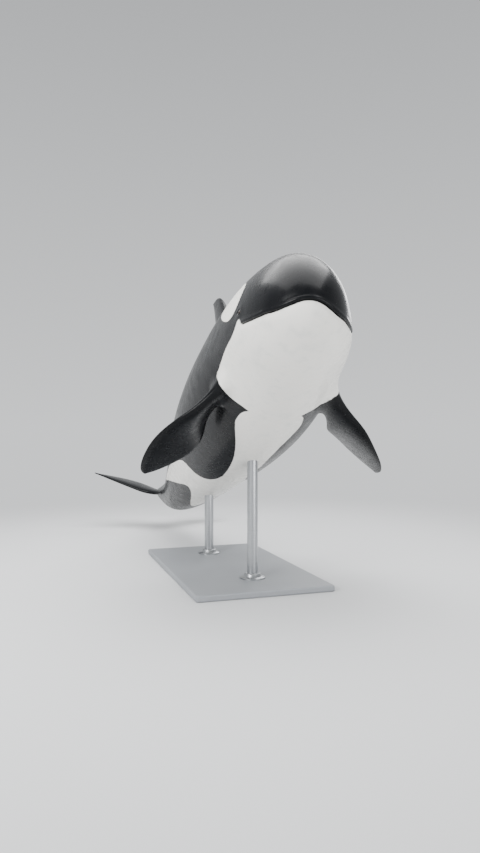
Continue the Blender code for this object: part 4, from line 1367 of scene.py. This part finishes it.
# ---------------------------------------------------------------------------
# Stand rods and collars. Round steel bar, brushed round its girth, that runs up into the belly,
# and at its foot a turned collar. The brushing spreads each highlight up and down the bar.
# ---------------------------------------------------------------------------
ROD_RADIUS = 0.050
ROD_SIDES = 96
ROD_ENTERS = 0.03  # how far a rod runs into the belly
COLLAR_PROFILE = (
    (0.0515, 0.0490),
    (0.0530, 0.0500),
    (0.0690, 0.0500),
    (0.0705, 0.0495),
    (0.0775, 0.0425),
    (0.0782, 0.0415),
    (0.0845, 0.0195),
    (0.0860, 0.0180),
    (0.1185, 0.0122),
    (0.1200, 0.0105),
    (0.1200, 0.0000),
)
COLLAR_BORE = COLLAR_PROFILE[0][0]
SHARP_EDGE = 40.0  # degrees
MERGE = 1e-5  # metres between points that are one, on the axis and where a profile closes
STEEL, STEEL_DARK = "#b9bbbd", "#8f9194"
# Length and width of a brush mark. Real marks are a tenth as wide, too fine to show.
BRUSH_LENGTH_MM, BRUSH_WIDTH_MM = 111.0, 1.43
BRUSHING = (1000 / BRUSH_LENGTH_MM, 1000 / BRUSH_LENGTH_MM, 1000 / BRUSH_WIDTH_MM)
brushed_steel, shader = new_material("brushed steel")
position = add_node(brushed_steel, "TexCoord").outputs["Object"]
stretched = add_node(brushed_steel, "Mapping", {"Vector": position, "Scale": BRUSHING})
brushing = add_node(
    brushed_steel, "TexNoise", {"Vector": stretched.outputs[0], "Scale": 1.0, "Detail": 4.0}
)
steel_colour = add_node(
    brushed_steel,
    "Mix",
    {"Factor": brushing.outputs["Fac"], 6: linear(STEEL), 7: linear(STEEL_DARK)},
    data_type="RGBA",
).outputs[2]
steel_gloss = add_node(
    brushed_steel, "MapRange", {"Value": brushing.outputs["Fac"], "To Min": 0.24, "To Max": 0.40}
).outputs[0]
scratched = add_node(
    brushed_steel, "Bump", {"Height": brushing.outputs["Fac"], "Strength": 0.15, "Distance": 0.0005}
)
links = brushed_steel.node_tree.links
links.new(steel_colour, shader.inputs["Base Color"])
links.new(steel_gloss, shader.inputs["Roughness"])
links.new(scratched.outputs[0], shader.inputs["Normal"])
shader.inputs["Metallic"].default_value = 1.0


def turned_piece(name, profile, centre):
    """A round piece whose profile is turned about an upright axis, open along that axis."""
    angles = np.linspace(0, 2 * math.pi, ROD_SIDES, endpoint=False)
    rings = [[(r * math.cos(a), r * math.sin(a), z) for a in angles] for r, z in profile]
    points = np.array(rings).reshape(-1, 3) + centre
    count, faces = len(profile), []
    for i in range(count - 1):
        for j in range(ROD_SIDES):
            k = (j + 1) % ROD_SIDES
            near, far = i * ROD_SIDES, (i + 1) * ROD_SIDES
            faces.append([near + j, far + j, far + k, near + k])
    mesh = bpy.data.meshes.new(name)
    mesh.from_pydata([tuple(p) for p in points], [], faces)
    form = bmesh.new()
    form.from_mesh(mesh)
    bmesh.ops.remove_doubles(form, verts=form.verts, dist=MERGE)
    form.to_mesh(mesh)
    form.free()
    mesh.shade_smooth()
    mesh.set_sharp_from_angle(angle=math.radians(SHARP_EDGE))
    mesh.materials.append(brushed_steel)
    piece = bpy.data.objects.new(name, mesh)
    bpy.context.scene.collection.objects.link(piece)
    return piece


for word in ("front", "rear"):
    low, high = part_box(f"stand_rod_{word}")
    middle = (low + high) / 2
    foot = np.array((middle.x, middle.y, low.z))
    rise = high.z - low.z + ROD_ENTERS
    bar = ((0.0, rise), (ROD_RADIUS, rise), (ROD_RADIUS, 0.0), (0.0, 0.0))
    rod = turned_piece(f"rod_{word}", bar, foot)
    low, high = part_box(f"stand_collar_{word}")
    ring = COLLAR_PROFILE + ((COLLAR_BORE, 0.0), COLLAR_PROFILE[0])
    collar = turned_piece(f"collar_{word}", ring, np.array((middle.x, middle.y, low.z)))
    for piece, node in ((rod, f"stand_rod_{word}"), (collar, f"stand_collar_{word}")):
        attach(piece, "root")
        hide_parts(node)

# ---------------------------------------------------------------------------
# Studio. A pale seamless floor that fades into the backdrop's tone, one broad soft lamp
# overhead, a key from the front left, a low fill for the belly and a rim lamp behind.
# ---------------------------------------------------------------------------
FLOOR_RADIUS = 90.0
FLOOR_PALE = "#d2d3d4"
FLOOR_FADE = (3.0, 8.0)  # metres from the stand between which the floor turns into backdrop
BLACK = (0.0, 0.0, 0.0, 1.0)
BACKDROP, CEILING, BACKDROP_GLOW = "#eceef0", "#8a8c8f", 1.15
studio_floor, shader = new_material("studio floor")
place = add_node(studio_floor, "TexCoord").outputs["Object"]
distance = add_node(studio_floor, "VectorMath", {0: place}, operation="LENGTH")
far = add_node(
    studio_floor,
    "MapRange",
    {"Value": distance.outputs["Value"], "From Min": FLOOR_FADE[0], "From Max": FLOOR_FADE[1]},
    interpolation_type="SMOOTHSTEP",
).outputs[0]
floor_colour = add_node(
    studio_floor,
    "Mix",
    {"Factor": far, 6: linear(FLOOR_PALE), 7: BLACK},
    data_type="RGBA",
).outputs[2]
glow = add_node(
    studio_floor,
    "Mix",
    {"Factor": far, 6: BLACK, 7: linear(BACKDROP)},
    data_type="RGBA",
).outputs[2]
studio_floor.node_tree.links.new(floor_colour, shader.inputs["Base Color"])
studio_floor.node_tree.links.new(glow, shader.inputs["Emission Color"])
shader.inputs["Emission Strength"].default_value = BACKDROP_GLOW
shader.inputs["Specular IOR Level"].default_value = 0.0
shader.inputs["Roughness"].default_value = 0.85
form = bmesh.new()
bmesh.ops.create_circle(form, cap_ends=True, segments=96, radius=FLOOR_RADIUS)
floor_mesh = bpy.data.meshes.new("floor")
form.to_mesh(floor_mesh)
form.free()
floor_mesh.materials.append(studio_floor)
floor = bpy.data.objects.new("floor", floor_mesh)
bpy.context.scene.collection.objects.link(floor)

# Name, place, aim, width, height, watts
LAMPS = (
    ("overhead", (0.0, 0.5, 7.5), (0.0, 0.5, 0.0), 9.0, 9.0, 1350.0),
    ("key", (-5.5, -7.5, 5.0), (0.0, -0.5, 1.6), 4.0, 4.0, 1000.0),
    ("fill", (5.5, -6.5, 1.6), (0.3, -0.8, 1.4), 5.0, 3.0, 260.0),
    ("rim", (3.5, 8.5, 5.5), (0.0, 0.5, 1.6), 4.0, 3.0, 240.0),
)
for name, spot, aim, width, height, watts in LAMPS:
    lamp_data = bpy.data.lights.new(name, "AREA")
    lamp_data.shape = "RECTANGLE"
    lamp_data.size, lamp_data.size_y = width, height
    lamp_data.energy = watts
    lamp = bpy.data.objects.new(name, lamp_data)
    lamp.location = spot
    lamp.rotation_euler = (Vector(aim) - Vector(spot)).to_track_quat("-Z", "Y").to_euler()
    bpy.context.scene.collection.objects.link(lamp)

world = bpy.data.worlds.new("studio")
world.use_nodes = True
direction = add_node(world, "TexCoord").outputs["Generated"]
steepness = add_node(world, "SeparateXYZ", {0: direction}).outputs["Z"]
overhead = add_node(world, "MapRange", {"Value": steepness, "From Max": 0.9}).outputs[0]
backdrop = add_node(
    world, "Mix", {"Factor": overhead, 6: linear(BACKDROP), 7: linear(CEILING)}, data_type="RGBA"
).outputs[2]
background = world.node_tree.nodes["Background"]
world.node_tree.links.new(backdrop, background.inputs["Color"])
background.inputs["Strength"].default_value = BACKDROP_GLOW
bpy.context.scene.world = world
